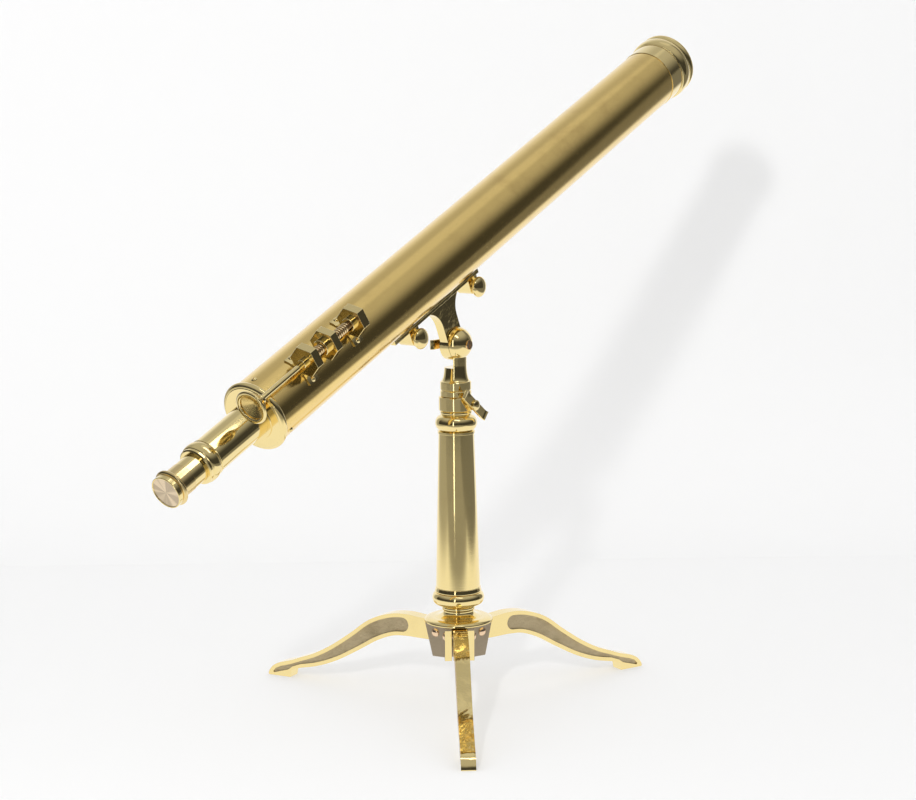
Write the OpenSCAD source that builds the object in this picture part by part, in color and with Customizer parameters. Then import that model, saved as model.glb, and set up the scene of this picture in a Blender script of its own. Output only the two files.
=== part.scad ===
// Brass table telescope on a pillar with three folding legs
// Millimetres. Origin on the table, under the pillar's axis. The tube swings in the XZ plane and its
// objective end points toward +X. Stations along the tube are measured from the foot of the
// perpendicular that joins the altitude pivot to the tube's axis, positive toward the objective.

/* [Pose] */
// Tilt of the tube above the horizontal as shown
tube_tilt = 23.5; // [10:0.5:35]
// Height of the altitude pivot above the table
pivot_z = 456; // [452:0.5:462]
// Height of the tube's axis above the pivot, square to the tube
axis_h = 111.4; // [108:0.1:116]

/* [Main tube] */
// Outer diameter of the main tube
tube_od = 80; // [76:0.5:84]
// Wall of the main tube
tube_wall = 1.5; // [1:0.1:2]
// Length of the main tube behind the pivot's foot
tube_rear = 349; // [340:1:360]
// Length of the main tube in front of the pivot's foot
tube_front = 532.6; // [480:1:580]
// Clearance of pieces that are pushed into each other and stay
seat_gap = 0.04; // [0.02:0.01:0.08]
// Clearance of pieces that turn or slide in each other
run_gap = 0.05; // [0.03:0.01:0.08]
// Number of blackened rings inside the main tube
baffle_count = 3; // [2:1:4]
// Distance between these rings
baffle_pitch = 150; // [100:5:160]
// Clear radius of these rings
baffle_hole_r = 31; // [28:0.5:33]
// Thickness of these rings
baffle_t = 2; // [1:0.5:4]
// Length of these rings' flanges along the tube
baffle_flange = 8; // [6:0.5:12]
// Thickness of these flanges
baffle_flange_t = 1; // [0.6:0.1:1.5]
// Distance of the first ring from the tube's front end
baffle_in = 60; // [40:5:90]

/* [Objective end] */
// Radius of the sleeve between the tube and the cell
sleeve_r = 40.7; // [40.5:0.1:43]
// Length of this sleeve outside the tube
sleeve_len = 25.4; // [20:0.2:34]
// Length of the spigots that join sleeve, tube and cell
spigot_len = 12; // [8:0.5:16]
// Wall of these spigots and of the cell
cell_wall = 2; // [1.6:0.1:2.4]
// Largest radius of the cell's big bead
cell_bead_r = 43.9; // [43.5:0.1:47]
// Length of the cell outside the sleeve
cell_len = 31; // [29:0.5:36]
// Radius of the groove between the cell's beads
cell_groove_r = 41.9; // [41:0.1:43]
// Radius of the rim bead at the cell's front
cell_rim_r = 43; // [42:0.1:45]
// Radius of both lenses of the objective
lens_r = 35; // [33:0.1:35.4]
// Width of the ledge that the objective rests against
lens_ledge = 1.6; // [1:0.1:3]
// Thickness of the crown lens at its middle
crown_t = 8; // [6:0.5:10]
// Thickness of the flint lens at its middle
flint_t = 4.5; // [3.5:0.5:6]
// Radius of curvature of the objective's outer faces
lens_curve_r = 520; // [400:10:700]
// Radius of the counterbore in the cell's front, where a cap or a filter is held
front_bore_r = 36; // [35.5:0.1:37]
// Depth of this counterbore
front_bore_len = 3; // [2:0.1:4]
// Thickness of the ledge behind it
ledge_t = 2.2; // [1.6:0.1:3]
// Width of the threaded ring that holds the objective
retainer_len = 5; // [3:0.5:7]

/* [Eye end plate] */
// Largest radius of the eye plate
plate_r = 42.9; // [42.5:0.1:45]
// Thickness of the eye plate
plate_t = 9; // [7:0.5:12]
// Radius of the eye plate's flat face
plate_face_r = 38.6; // [36:0.1:40]
// Length of the plate's spigot inside the tube
plate_spigot = 15; // [12:1:20]
// Distance of the plate's screws from the end of the tube
plate_screw_in = 9; // [6:0.5:10]
// Angle of the first plate screw round the tube
plate_screw_start = 4; // [0:1:20]
// Number of plate screws
plate_screw_count = 3; // [2:1:4]
// Outer radius of the guide bush of the focus tube
bush_r = 25; // [24:0.1:27]
// Length of this bush behind the plate's face
bush_len = 38; // [28:1:44]
// Height of its lip in front of the plate's face
bush_lip = 1.4; // [0.6:0.1:2.5]

/* [Small screws] */
// Radius of the shank of the small screws
screw_r = 1.5; // [1.2:0.1:2]
// Radius of their round heads
screw_head_r = 3.3; // [2.8:0.1:3.6]
// Height of their round heads
screw_head_h = 2; // [1.4:0.1:2.6]
// Width of the slot in their heads
screw_slot_w = 0.8; // [0.5:0.1:1.2]

/* [Focusing gear] */
// Angle of the gear round the tube from its top
gear_angle = 46.6; // [35:0.5:55]
// Distance of the gear's axis from the tube's axis
gear_rho = 58; // [57:0.1:62]
// Distance across the flats of the hexagonal blocks
hex_flats = 34; // [30:0.5:36]
// Station of the rear block's back face, counted backward
rear_block_s = 297; // [294:0.5:302]
// Thickness of the rear block
rear_block_t = 11; // [9:0.5:12]
// Station of the front block's back face, counted backward
front_block_s = 208.6; // [200:0.2:210]
// Thickness of the front block
front_block_t = 11.6; // [9:0.2:14]
// Length of the bosses on the blocks' eye side
block_boss_len = 5; // [3:0.5:6]
// Radius of the rear block's boss
rear_boss_r = 5.6; // [5:0.1:8]
// Radius of the front block's boss
front_boss_r = 8.4; // [7:0.1:10]
// Half angle of the curved feet of the blocks
foot_angle = 29.5; // [28.5:0.5:34]
// Width of these feet along the tube
foot_w = 16; // [14:0.5:18]
// Thickness of these feet
foot_t = 2; // [1.5:0.1:3]
// Angle of the feet's screws from the gear's plane
foot_screw_angle = 24.2; // [24:0.1:25]
// Radius of the rod that carries the knob
rod_r = 3.1; // [2.5:0.1:3.6]
// Outer radius of the lead screw's thread
thread_r = 5.8; // [5.2:0.1:6.4]
// Pitch of the thread
thread_pitch = 3.5; // [3:0.1:4.5]
// Radius of the round ridge that forms the thread
ridge_r = 1.1; // [0.8:0.05:1.3]
// Largest radius of the knob
knob_r = 20.3; // [17:0.1:24]
// Station of the middle of the knob's rim, counted backward
knob_s = 393; // [390:0.5:400]
// Depth of the conical recess in the knob
knob_recess = 8; // [5:0.5:9]
// Radius of the knob's rolled rim
knob_roll_r = 2; // [1.4:0.1:2.4]
// Length of the knob's neck toward the tube
knob_neck = 6; // [4:0.5:10]
// Radius of the knob's neck
knob_neck_r = 6; // [5:0.1:8]
// Station of the travelling nut's back face, counted backward
nut_s = 260; // [258:0.5:262]
// Thickness of the travelling nut
nut_t = 10.5; // [9:0.5:11]
// Length of the nut's collar on the eye side
nut_collar_len = 6; // [4:0.5:6.5]
// Radius of the nut's collar
nut_collar_r = 10; // [8.5:0.1:12]
// Clearance of the nut over the tube
nut_lift = 0.4; // [0.3:0.1:0.8]
// How far the nut travels toward the eye
focus_out = 18.5; // [15:0.5:18.5]
// How far the nut travels toward the objective
focus_in = 34; // [25:1:34]
// Length of the post that joins the nut to the focus tube's carriage
post_len = 8; // [6:0.5:9]
// Width of this post
post_w = 6; // [4:0.5:7]
// Width of the slot in the main tube on each side of the post
slot_side = 1; // [0.5:0.1:2]
// Length of the carriage ring inside the main tube
carriage_len = 14; // [12:1:16]

/* [Focus tube] */
// Outer radius of the focus tube
focus_r = 21.7; // [20:0.1:22.5]
// Wall of the focus tube
focus_wall = 1.2; // [1:0.1:1.6]
// Station of the eye end of the focus tube's ring, counted backward
focus_eye_s = 460; // [450:1:470]
// Station of the inner end of the focus tube, counted backward
focus_inner_s = 170; // [160:1:190]
// Largest radius of the ring on the focus tube's eye end
ring_r = 24; // [23:0.1:25.5]
// Length of this ring outside the tube
ring_len = 21; // [18:0.5:26]
// Length of the ring's liner inside the focus tube
liner_len = 40; // [30:1:50]

/* [Eyepiece] */
// Outer radius of the eyepiece's draw tube
draw_r = 17; // [16:0.1:18]
// Wall of the eyepiece's draw tube
draw_wall = 1; // [0.8:0.1:1.2]
// Length of the draw tube
draw_len = 120; // [110:1:140]
// Length of the draw tube that shows
draw_out = 20; // [19:0.5:24]
// Radius of the eyepiece's body
eye_body_r = 17.5; // [17:0.1:18.5]
// Length of the eyepiece's body up to its bead
eye_body_len = 17; // [15:0.5:24]
// Radius of the eyepiece's bead
eye_bead_r = 21.7; // [20:0.1:23]
// Length of the eyepiece's bead
eye_bead_len = 7; // [6:0.5:9]
// Radius of the nose that the cap sits on
nose_r = 15.8; // [14:0.1:16.5]
// Length of the nose
nose_len = 4.6; // [4:0.1:6]
// Radius of the eye hole
eye_hole_r = 4; // [3:0.5:6]
// Radius of the cap
cap_r = 19.2; // [18:0.1:20]
// Depth of the cap outside its seat on the bead
cap_len = 6.4; // [6.4:0.1:8]
// Radius of the recessed face of the cap
cap_face_r = 17.6; // [16.5:0.1:17.8]
// Depth of that recess
cap_recess = 0.9; // [0.4:0.1:1]
// Radius of the eye lens
eye_lens_r = 8; // [6:0.5:9]
// Thickness of the eye lens
eye_lens_t = 5; // [3:0.5:6]
// Radius of curvature of the eye lens
eye_curve_r = 22; // [18:0.5:30]
// Depth of the web between the eye lens and the nose
eye_web = 3; // [2:0.1:4]
// Length of the body's plug in the draw tube
eye_plug_len = 8; // [6:0.5:10]
// Radius of the field lens and the erecting lenses
field_lens_r = 13; // [11:0.5:13.5]
// Thickness of the field lens
field_lens_t = 6; // [4:0.5:7]
// Radius of curvature of the field lens
field_curve_r = 32; // [26:1:50]
// Distance of the field lens from the draw tube's eye end
field_lens_in = 16; // [14:0.5:24]
// Thickness of the stop behind the field lens
stop_t = 4; // [2:0.5:6]
// Radius of the stop's hole
stop_hole_r = 8; // [5:0.5:10]
// Thickness of the erecting lenses
erector_t = 5.8; // [4:0.1:7]
// Radius of curvature of the erecting lenses
erector_curve_r = 36; // [28:1:60]
// Length of the cell that holds the erecting lenses
erector_len = 40; // [30:1:60]
// Depth of the seats of the erecting lenses in this cell
erector_seat = 8; // [7:0.5:10]
// Amount by which this cell's ledges are narrower than its lenses
erector_ledge = 2; // [1:0.5:3]

/* [Saddle] */
// Half width of the saddle's plate and of the shoe
saddle_half_w = 12; // [10:0.5:14]
// Station of the saddle's rear end, counted backward
saddle_rear = 116; // [105:1:125]
// Station of the saddle's front end
saddle_front = 66; // [64:1:80]
// Distance of the plate's underside from the tube's lowest line
saddle_depth = 6.2; // [5.4:0.1:8]
// Thickness of the shoe at its middle
shoe_t = 2.4; // [2:0.1:3]
// Station of the rear boss, counted backward
rear_boss_s = 75.5; // [70:0.5:85]
// Station of the front boss
front_boss_s = 53.5; // [52:0.5:56]
// Distance of the clamp screws' axes under the arm's plate
boss_drop = 13.2; // [11:0.1:15]
// Radius of the bosses' rounded underside
boss_r = 9.5; // [9:0.1:11]
// Face of the bosses on the screws' side
boss_near_y = 10; // [9:0.5:11]
// Face of the bosses on the far side
boss_far_y = 12; // [10:0.5:14]
// Half width of the tongues along the tube
tongue_half = 6.8; // [6:0.1:7]
// Thickness of the tongues
tongue_t = 6; // [5:0.5:8]
// Clearance round the tongues
tongue_gap = 0.15; // [0.1:0.05:0.3]
// Radius of the clamp screws' shanks
clamp_r = 4; // [3:0.1:4.5]
// Radius of the clamp screws' domed heads
clamp_head_r = 13; // [11:0.1:14]
// Depth of the clamp screws' heads
clamp_head_h = 12.6; // [10:0.1:14]
// Radius of the arm's disc
arm_disc_r = 20.5; // [19:0.1:21]
// Thickness of the arm's disc
arm_disc_t = 14.4; // [13:0.1:15]
// Amount by which the web is thinner than the disc on each side
web_step = 1.2; // [0.6:0.1:2]
// Waist of the web behind the pivot
waist_rear = 17; // [15:0.5:18]
// Waist of the web in front of the pivot
waist_front = 14; // [12:0.5:17]
// Radius of the web's concave sides
web_curve_r = 30; // [26:1:34]
// Height of the web's waist above the pivot
waist_n = 34; // [32:0.5:36]
// Reach of the web's root behind the waist
web_flare = 14; // [10:0.5:20]

/* [Head] */
// Radius of the head's ball
ball_r = 21.6; // [20.5:0.1:22.5]
// Height of the ball's centre above the pivot
ball_up = 0.5; // [0:0.1:1]
// Side of the cheek that the arm's disc turns against, counted toward the near side
cheek_y = 6; // [5:0.1:7]
// Thickness of the near washer
near_washer_t = 0.8; // [0.5:0.1:1.2]
// Thickness of the far washer
far_washer_t = 1.4; // [1:0.1:2]
// Radius of the washers
washer_r = 13; // [11:0.5:15]
// Radius of the head's base
head_r = 19.5; // [18.5:0.1:21]
// Height of the head's straight base
head_base_h = 19; // [16:0.5:20]
// Height of the groove in the base above its foot
head_groove_up = 8; // [6:0.5:9]
// Depth of that groove
head_groove = 1; // [0.6:0.1:1.4]
// Radius of the neck under the ball
neck_r = 14; // [13:0.1:15.5]
// Height of the neck's foot below the pivot
neck_down = 26; // [24:0.5:28]
// Height of the shoulder below the pivot
shoulder_down = 29; // [26:0.5:30]
// Radius of the pivot screw
pivot_r = 5; // [4:0.1:6]
// Radius of the pivot screw's slotted head
pivot_head_r = 5.8; // [5.4:0.1:7]
// Half span of the altitude wing nut
nut_half_span = 27; // [24:0.5:27]
// Radius of the wing nut's hub
nut_hub_r = 8.5; // [8:0.1:10]
// Length of the wing nut's hub
nut_hub_len = 11; // [10:0.5:14]
// Distance of the wings from the hub's inner end
nut_wing_in = 4.3; // [3.5:0.1:6]
// Width of the wings of both wing screws
wing_w = 12; // [10:0.5:13]
// Thickness of these wings
wing_t = 3.4; // [3:0.1:4]
// Radius of the wings' out-turned ends
wing_turn_r = 6; // [4:0.5:8]
// Angle of these ends
wing_turn = 50; // [35:1:60]

/* [Pillar] */
// Radius of the disc on the hub
disc_r = 43.4; // [42.5:0.1:47]
// Thickness of this disc
disc_t = 5; // [4:0.5:6]
// Height of its underside above the table
disc_z = 103.5; // [103.5:0.5:110]
// Radius of the cove above the disc
cove_r = 19.5; // [18:0.1:22]
// Height of the cove above the disc
cove_h = 9.5; // [8:0.5:12]
// Radius of the lip above the cove
lip_r = 21; // [20:0.1:23]
// Height of this lip
lip_h = 6; // [5:0.5:8]
// Radius of the torus at the column's foot
torus_r = 33; // [31:0.1:36]
// Height of the torus
torus_h = 18; // [16:0.5:20]
// Height of the short step between torus and column
foot_step = 4; // [2:0.5:5]
// Radius of the column's foot
column_foot_r = 28; // [26:0.1:30]
// Radius of the column's top
column_top_r = 22.4; // [21:0.1:23.5]
// Wall of the column
column_wall = 2.5; // [2:0.1:3.5]
// Length of the plug that centres the column on its base
column_plug_len = 8; // [6:0.5:12]
// Height of the bulb's foot below the pivot
bulb_down = 112; // [104:1:118]
// Length of the plug that centres the collar in the column
collar_plug_len = 12; // [8:0.5:16]
// Radius of the bulb
bulb_r = 26.3; // [25:0.1:27]
// Height of the bulb
bulb_h = 24; // [22:0.5:26]
// Radius of the ring above the bulb
ring_neck_r = 20; // [19:0.1:20.5]
// Height of this ring
ring_neck_h = 5; // [4:0.5:6]
// Radius of the collar that holds the head
collar_r = 21.5; // [20.5:0.1:22.5]
// Height of this collar
collar_h = 17.4; // [16:0.2:18]
// Radius of the head's spigot inside the collar
spigot_r = 12; // [10:0.5:13]
// Length of this spigot
head_spigot_len = 28; // [22:1:30]
// Radius of the rod inside the pillar
tie_r = 4; // [3:0.5:5]
// Half width of the nut on this rod, across its corners
tie_nut_r = 8; // [7:0.5:10]
// Height of this nut
tie_nut_h = 7; // [5:0.5:8]
// Angle of the azimuth screw round the pillar
wing_azimuth = -92; // [-100:1:-84]
// Roll of the azimuth screw's wings
wing_roll = 39; // [0:1:90]
// Radius of the azimuth screw's shank
azimuth_screw_r = 3.5; // [3:0.1:4]
// Distance of the azimuth screw's wings from the pillar's axis
azimuth_wing_out = 27.6; // [27.6:0.1:30]
// Half span of this screw's wings
azimuth_half_span = 28; // [24:0.5:29]
// Radius of the neck behind its wings
azimuth_neck_r = 5.5; // [4.5:0.1:6.5]
// Length of this neck
azimuth_neck_len = 4; // [3:0.1:5]
// Radius of its hub in front of the wings
azimuth_hub_r = 6.6; // [5.5:0.1:8]
// Length of this hub up to its dome
azimuth_hub_len = 5.5; // [4:0.1:7]
// Height of the dome on the hub
azimuth_dome_h = 2; // [1:0.1:3]

/* [Hub and legs] */
// Direction of the front leg round the pillar
front_leg_azimuth = -140.9; // [-150:0.1:-135]
// Angle between the legs
leg_step = 120; // [118:0.5:122]
// Thickness of the legs
leg_t = 17.8; // [16:0.2:19]
// Gap between a leg and each ear
ear_gap = 0.8; // [0.2:0.05:1]
// Width of the hub across a pair of ears
hub_w = 37.2; // [36:0.2:40]
// Reach of the ears at the disc
ear_top_r = 38; // [37:0.5:41]
// Reach of the ears at their foot
ear_foot_r = 28; // [26:0.5:32]
// Height of the hub's underside
hub_z = 58; // [55:0.5:62]
// Distance of the slots' inner ends from the pillar's axis
hub_core_r = 8.7; // [8:0.1:9]
// Distance of the legs' hinges from the pillar's axis
hinge_r = 23.6; // [23.4:0.1:24.4]
// Height of the legs' hinges
hinge_z = 89; // [88:0.1:89.2]
// Radius of the legs' round roots
leg_root_r = 14.2; // [13:0.1:14.3]
// Radius of the hinge screws
hinge_pin_r = 3; // [2.5:0.1:4]
// Radius of the hinge screws' domed heads
hinge_head_r = 5.6; // [5:0.1:7]
// Height of these heads
hinge_head_h = 2.6; // [2:0.1:3.5]
// Reach of the foot's tip from the pillar's axis
foot_tip_r = 282; // [270:1:300]
// Length of the flat sole
sole_len = 34; // [28:1:38]
// Height of the heel's step
heel_h = 13; // [11:0.5:14]
// Width of the polished border round the recessed panels
border = 5; // [4:0.2:6]
// Depth of the recessed panels
panel_depth = 1.7; // [1:0.1:2.5]

/* [Hidden] */
$fn = 96;

// Amount by which cuts run past a face and joined shapes reach into each other
past = 1;
// Small chamfers, and the gap between a lens and what holds it
chamfer = 0.6;
lens_gap = 0.2;
lens_steps = 8;
tube_r = tube_od / 2;
tube_ir = tube_r - tube_wall;
plate_back_s = -tube_rear;
plate_face_s = plate_back_s - plate_t;
sleeve_end_s = tube_front + sleeve_len;
cell_end_s = sleeve_end_s + cell_len;
spigot_out_r = tube_ir - seat_gap;
spigot_in_r = spigot_out_r - cell_wall;
cell_bore_r = lens_r + seat_gap;
lens_seat_s = cell_end_s - front_bore_len - ledge_t;
hex_r = hex_flats / sqrt(3);
nut_back_s = -nut_s;
nut_front_s = nut_back_s + nut_t;
nut_mid_s = (nut_back_s + nut_front_s) / 2;
rear_block_back = -rear_block_s;
rear_block_front = rear_block_back + rear_block_t;
front_block_back = -front_block_s;
front_block_front = front_block_back + front_block_t;
slot_back_s = nut_mid_s - focus_out - post_len / 2 - slot_side;
slot_front_s = nut_mid_s + focus_in + post_len / 2 + slot_side;
rod_end_s = front_block_front + 1.6;
knob_rim_s = -knob_s;
knob_back_s = knob_rim_s + knob_recess + knob_roll_r + 2;
carriage_r = tube_ir - run_gap;
focus_ir = focus_r - focus_wall;
ring_eye_s = -focus_eye_s;
liner_r = focus_ir - seat_gap;
draw_ir = draw_r - draw_wall;
draw_eye_s = ring_eye_s - draw_out;
draw_inner_s = draw_eye_s + draw_len;
eye_bead_s = draw_eye_s - eye_body_len;
nose_s = eye_bead_s - eye_bead_len;
cap_seat_s = nose_s - 0.02;
lens_cell_r = field_lens_r + 0.1;
saddle_low_n = axis_h - tube_r - saddle_depth;
boss_n = saddle_low_n - boss_drop;
shoe_low_n = axis_h - tube_r - shoe_t;
arm_near_y = -cheek_y + near_washer_t;
arm_far_y = arm_near_y + arm_disc_t;
arm_mid_y = (arm_near_y + arm_far_y) / 2;
nut_in_y = arm_far_y + far_washer_t + 0.1;
disc_top_z = disc_z + disc_t;
lip_z = disc_top_z + cove_h;
torus_z = lip_z + lip_h + 2;
column_z = torus_z + torus_h + foot_step;
bulb_z = pivot_z - bulb_down;
ring_neck_z = bulb_z + bulb_h;
collar_z = ring_neck_z + ring_neck_h;
collar_top_z = collar_z + collar_h;
head_z = collar_top_z + 0.05;
collar_mid_z = collar_z + collar_h / 2;
rod_bore_r = tie_r + 0.1;
leg_azimuths = [front_leg_azimuth, front_leg_azimuth + leg_step, front_leg_azimuth + 2 * leg_step];

// Points on a circular arc from angle a0 to angle a1
function arc(cx, cy, r, a0, a1, n = 12) =
    [for (i = [0:n]) let (a = a0 + (a1 - a0) * i / n) [cx + r * cos(a), cy + r * sin(a)]];

// Points on an elliptical arc with half axes a and b
function ellipse_arc(cx, cy, a, b, a0, a1, n = 12) =
    [for (i = [0:n]) let (t = a0 + (a1 - a0) * i / n) [cx + a * cos(t), cy + b * sin(t)]];

// Points on a smooth curve through the given points
function curve(p, n = 5) = [
    for (i = [0:len(p) - 2])
        let (a = p[max(i - 1, 0)], b = p[i], c = p[i + 1], d = p[min(i + 2, len(p) - 1)])
            for (j = [0:(i == len(p) - 2 ? n : n - 1)])
                let (t = j / n)
                    ((2 * b) + (c - a) * t + (2 * a - 5 * b + 4 * c - d) * t * t
                        + (3 * b - a - 3 * c + d) * t * t * t) / 2
];

// The frame of the tilted tube: X along the tube, Z square to it, pivot at the origin
module tube_frame() {
    translate([0, 0, pivot_z]) rotate([0, -tube_tilt, 0]) children();
}

// Local Z along the tube's axis, toward the objective
module tube_axis() {
    tube_frame() translate([0, 0, axis_h]) rotate([0, 90, 0]) children();
}

// Turned piece on the tube's axis from an outline of radius and station
module turned(outline) {
    tube_axis() rotate_extrude() polygon(outline);
}

// Local Z along the focusing gear's axis, toward the objective
module gear_axis() {
    tube_frame() translate([0, 0, axis_h]) rotate([gear_angle, 0, 0]) translate([0, 0, gear_rho])
        rotate([0, 90, 0]) children();
}

// Local Z outward from the tube's axis at a station and an angle from the top
module radial(station, angle) {
    tube_frame() translate([0, 0, axis_h]) rotate([angle, 0, 0]) translate([station, 0, 0]) children();
}

// Spherical cap that stands on z = 0
module dome(r, h) {
    ball = (r * r + h * h) / (2 * h);
    intersection() {
        translate([0, 0, h - ball]) sphere(r = ball);
        cylinder(r = r + past, h = h + past);
    }
}

// Round-head screw on z = 0 with its shank below
module small_screw(depth) {
    difference() {
        union() {
            dome(screw_head_r, screw_head_h);
            translate([0, 0, -depth]) cylinder(r = screw_r, h = depth + 0.2);
        }
        translate([-screw_head_r - past, -screw_slot_w / 2, screw_head_h * 0.6])
            cube([2 * screw_head_r + 2 * past, screw_slot_w, screw_head_h]);
    }
}

// Outline of a wing plate with out-turned ends, inner face on y = 0
function wing_outline(half) =
    let (a = half - (wing_turn_r + wing_t) * sin(wing_turn), c = wing_t + wing_turn_r)
        concat(
            arc(a, c, wing_turn_r + wing_t, -90, -90 + wing_turn, 8),
            arc(a, c, wing_turn_r, -90 + wing_turn, -90, 8),
            arc(-a, c, wing_turn_r, -90, -90 - wing_turn, 8),
            arc(-a, c, wing_turn_r + wing_t, -90 - wing_turn, -90, 8)
        );

// Wing plate across local Z, inner face on z = 0, long way along X
module wings(half) {
    rotate([90, 0, 0]) translate([0, 0, -wing_w / 2]) linear_extrude(wing_w) polygon(wing_outline(half));
}

module place_legs() {
    for (a = leg_azimuths) rotate([0, 0, a]) children();
}

// Outer ends of the ears as radius and height, from the foot to the top
ear_slope = (ear_top_r - ear_foot_r) / (disc_z - 4 - hub_z);
ear_ends = [[ear_foot_r - past * ear_slope, hub_z - past], [ear_top_r, disc_z - 4]];
slot_half = leg_t / 2 + ear_gap;
notch_r = hub_w / 2 / cos(leg_step / 4);

// Plan of the hub for one leg, from the notch before it: ear, slot for the leg, ear
function hub_plan(a) = [for (q = [
    [notch_r * cos(leg_step / 2), -notch_r * sin(leg_step / 2)], [ear_top_r, -hub_w / 2],
    [ear_top_r, -slot_half], [hub_core_r, -slot_half], [hub_core_r, slot_half],
    [ear_top_r, slot_half], [ear_top_r, hub_w / 2]])
    [q[0] * cos(a) - q[1] * sin(a), q[0] * sin(a) + q[1] * cos(a)]];

module hub_block() {
    color("tan") difference() {
        translate([0, 0, hub_z]) linear_extrude(disc_z - hub_z)
            polygon([for (a = leg_azimuths) for (q = hub_plan(a)) q]);
        place_legs() rotate([90, 0, 0]) translate([0, 0, -hub_w / 2 - past]) linear_extrude(hub_w + 2 * past)
            polygon(concat(ear_ends, [[ear_top_r + past, disc_z - 4], [ear_top_r + past, hub_z - past]]));
        place_legs() translate([hinge_r, hub_w / 2 + past, hinge_z]) rotate([90, 0, 0])
            cylinder(r = hinge_pin_r + seat_gap, h = hub_w + 2 * past);
        translate([0, 0, hub_z - past]) cylinder(r = rod_bore_r, h = disc_z - hub_z + 2 * past);
    }
}

module hub_disc() {
    roll = disc_t / 2;
    color("gold") rotate_extrude() polygon(concat(
        [[rod_bore_r, disc_z]],
        arc(disc_r - roll, disc_z + roll, roll, -90, 90, 10),
        ellipse_arc(disc_r - 2 * roll, lip_z - 1, disc_r - 2 * roll - cove_r, cove_h - 1.6, 270, 180, 14),
        [[cove_r, lip_z], [rod_bore_r, lip_z]]
    ));
}

module base_moulding() {
    plug_r = column_foot_r - column_wall - seat_gap;
    plug_top_r = plug_r - column_plug_len * (column_foot_r - column_top_r) / (bulb_z - column_z);
    color("gold") rotate_extrude() polygon(concat(
        [[rod_bore_r, lip_z]],
        ellipse_arc(lip_r - 2, lip_z + lip_h / 2, 2, lip_h / 2, -90, 90, 8),
        [[lip_r - 1, lip_z + lip_h], [lip_r, torus_z]],
        ellipse_arc(torus_r - torus_h * 0.36, torus_z + torus_h * 0.45, torus_h * 0.36, torus_h * 0.45, -90, 90, 14),
        [[column_foot_r + 1.6, torus_z + torus_h * 0.9], [column_foot_r + 1.6, torus_z + torus_h],
            [column_foot_r + 0.6, column_z - 1], [column_foot_r + 0.6, column_z],
            [plug_r, column_z], [plug_top_r, column_z + column_plug_len], [rod_bore_r, column_z + column_plug_len]]
    ));
}

module pillar_column() {
    color("peru") rotate_extrude() polygon([
        [column_foot_r, column_z],
        [column_top_r, bulb_z],
        [column_top_r - column_wall, bulb_z],
        [column_foot_r - column_wall, column_z]
    ]);
}

module pillar_collar() {
    plug_r = column_top_r - column_wall - 0.4;
    plug_z = bulb_z - collar_plug_len;
    color("gold") difference() {
        rotate_extrude() polygon(concat(
            [[0, plug_z], [plug_r, plug_z], [plug_r, bulb_z], [column_top_r + 1, bulb_z],
                [column_top_r + 1, bulb_z + 3]],
            ellipse_arc(bulb_r - bulb_h * 0.3, bulb_z + bulb_h * 0.55, bulb_h * 0.3, bulb_h * 0.4, -75, 75, 14),
            [[ring_neck_r - 1.2, ring_neck_z]],
            ellipse_arc(ring_neck_r - 1.2, ring_neck_z + ring_neck_h / 2, 1.2, ring_neck_h / 2 - 0.4, -80, 80, 6),
            [[ring_neck_r - 1.2, collar_z], [collar_r - 0.8, collar_z], [collar_r, collar_z + 0.8],
                [collar_r, collar_top_z - 0.8], [collar_r - 0.8, collar_top_z], [0, collar_top_z]]
        ));
        translate([0, 0, collar_top_z - head_spigot_len - 1]) cylinder(r = spigot_r + run_gap, h = head_spigot_len + 2);
        translate([0, 0, plug_z - past]) cylinder(r = tie_r + seat_gap, h = collar_plug_len + past);
        rotate([0, 0, wing_azimuth]) translate([0, 0, collar_mid_z]) rotate([0, 90, 0])
            cylinder(r = azimuth_screw_r + run_gap, h = collar_r + past);
    }
}

module tie_rod() {
    low_z = hub_z - tie_nut_h - 2;
    color("dimgray") translate([0, 0, low_z]) cylinder(r = tie_r, h = bulb_z - past - low_z);
}

module tie_nut() {
    color("dimgray") difference() {
        translate([0, 0, hub_z - tie_nut_h]) cylinder(r = tie_nut_r, h = tie_nut_h, $fn = 6);
        translate([0, 0, hub_z - tie_nut_h - past]) cylinder(r = tie_r + seat_gap, h = tie_nut_h + 2 * past);
    }
}

module leg_hinge_screws() {
    color("sienna") place_legs() translate([hinge_r, 0, hinge_z]) rotate([90, 0, 0]) {
        translate([0, 0, -hub_w / 2 - 0.1]) cylinder(r = hinge_pin_r, h = hub_w + 0.2);
        translate([0, 0, hub_w / 2]) dome(hinge_head_r, hinge_head_h);
        translate([0, 0, -hub_w / 2]) rotate([180, 0, 0]) dome(hinge_head_r, hinge_head_h);
    }
}

module azimuth_wing_screw() {
    color("gold") rotate([0, 0, wing_azimuth]) translate([0, 0, collar_mid_z]) rotate([0, 90, 0]) {
        translate([0, 0, spigot_r + 0.3]) cylinder(r = azimuth_screw_r, h = azimuth_wing_out - spigot_r);
        translate([0, 0, azimuth_wing_out - azimuth_neck_len]) cylinder(r = azimuth_neck_r, h = azimuth_neck_len + past);
        translate([0, 0, azimuth_wing_out]) rotate([0, 0, 90 - wing_roll]) wings(azimuth_half_span);
        translate([0, 0, azimuth_wing_out]) cylinder(r = azimuth_hub_r, h = azimuth_hub_len);
        translate([0, 0, azimuth_wing_out + azimuth_hub_len]) dome(azimuth_hub_r, azimuth_dome_h);
    }
}

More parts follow.
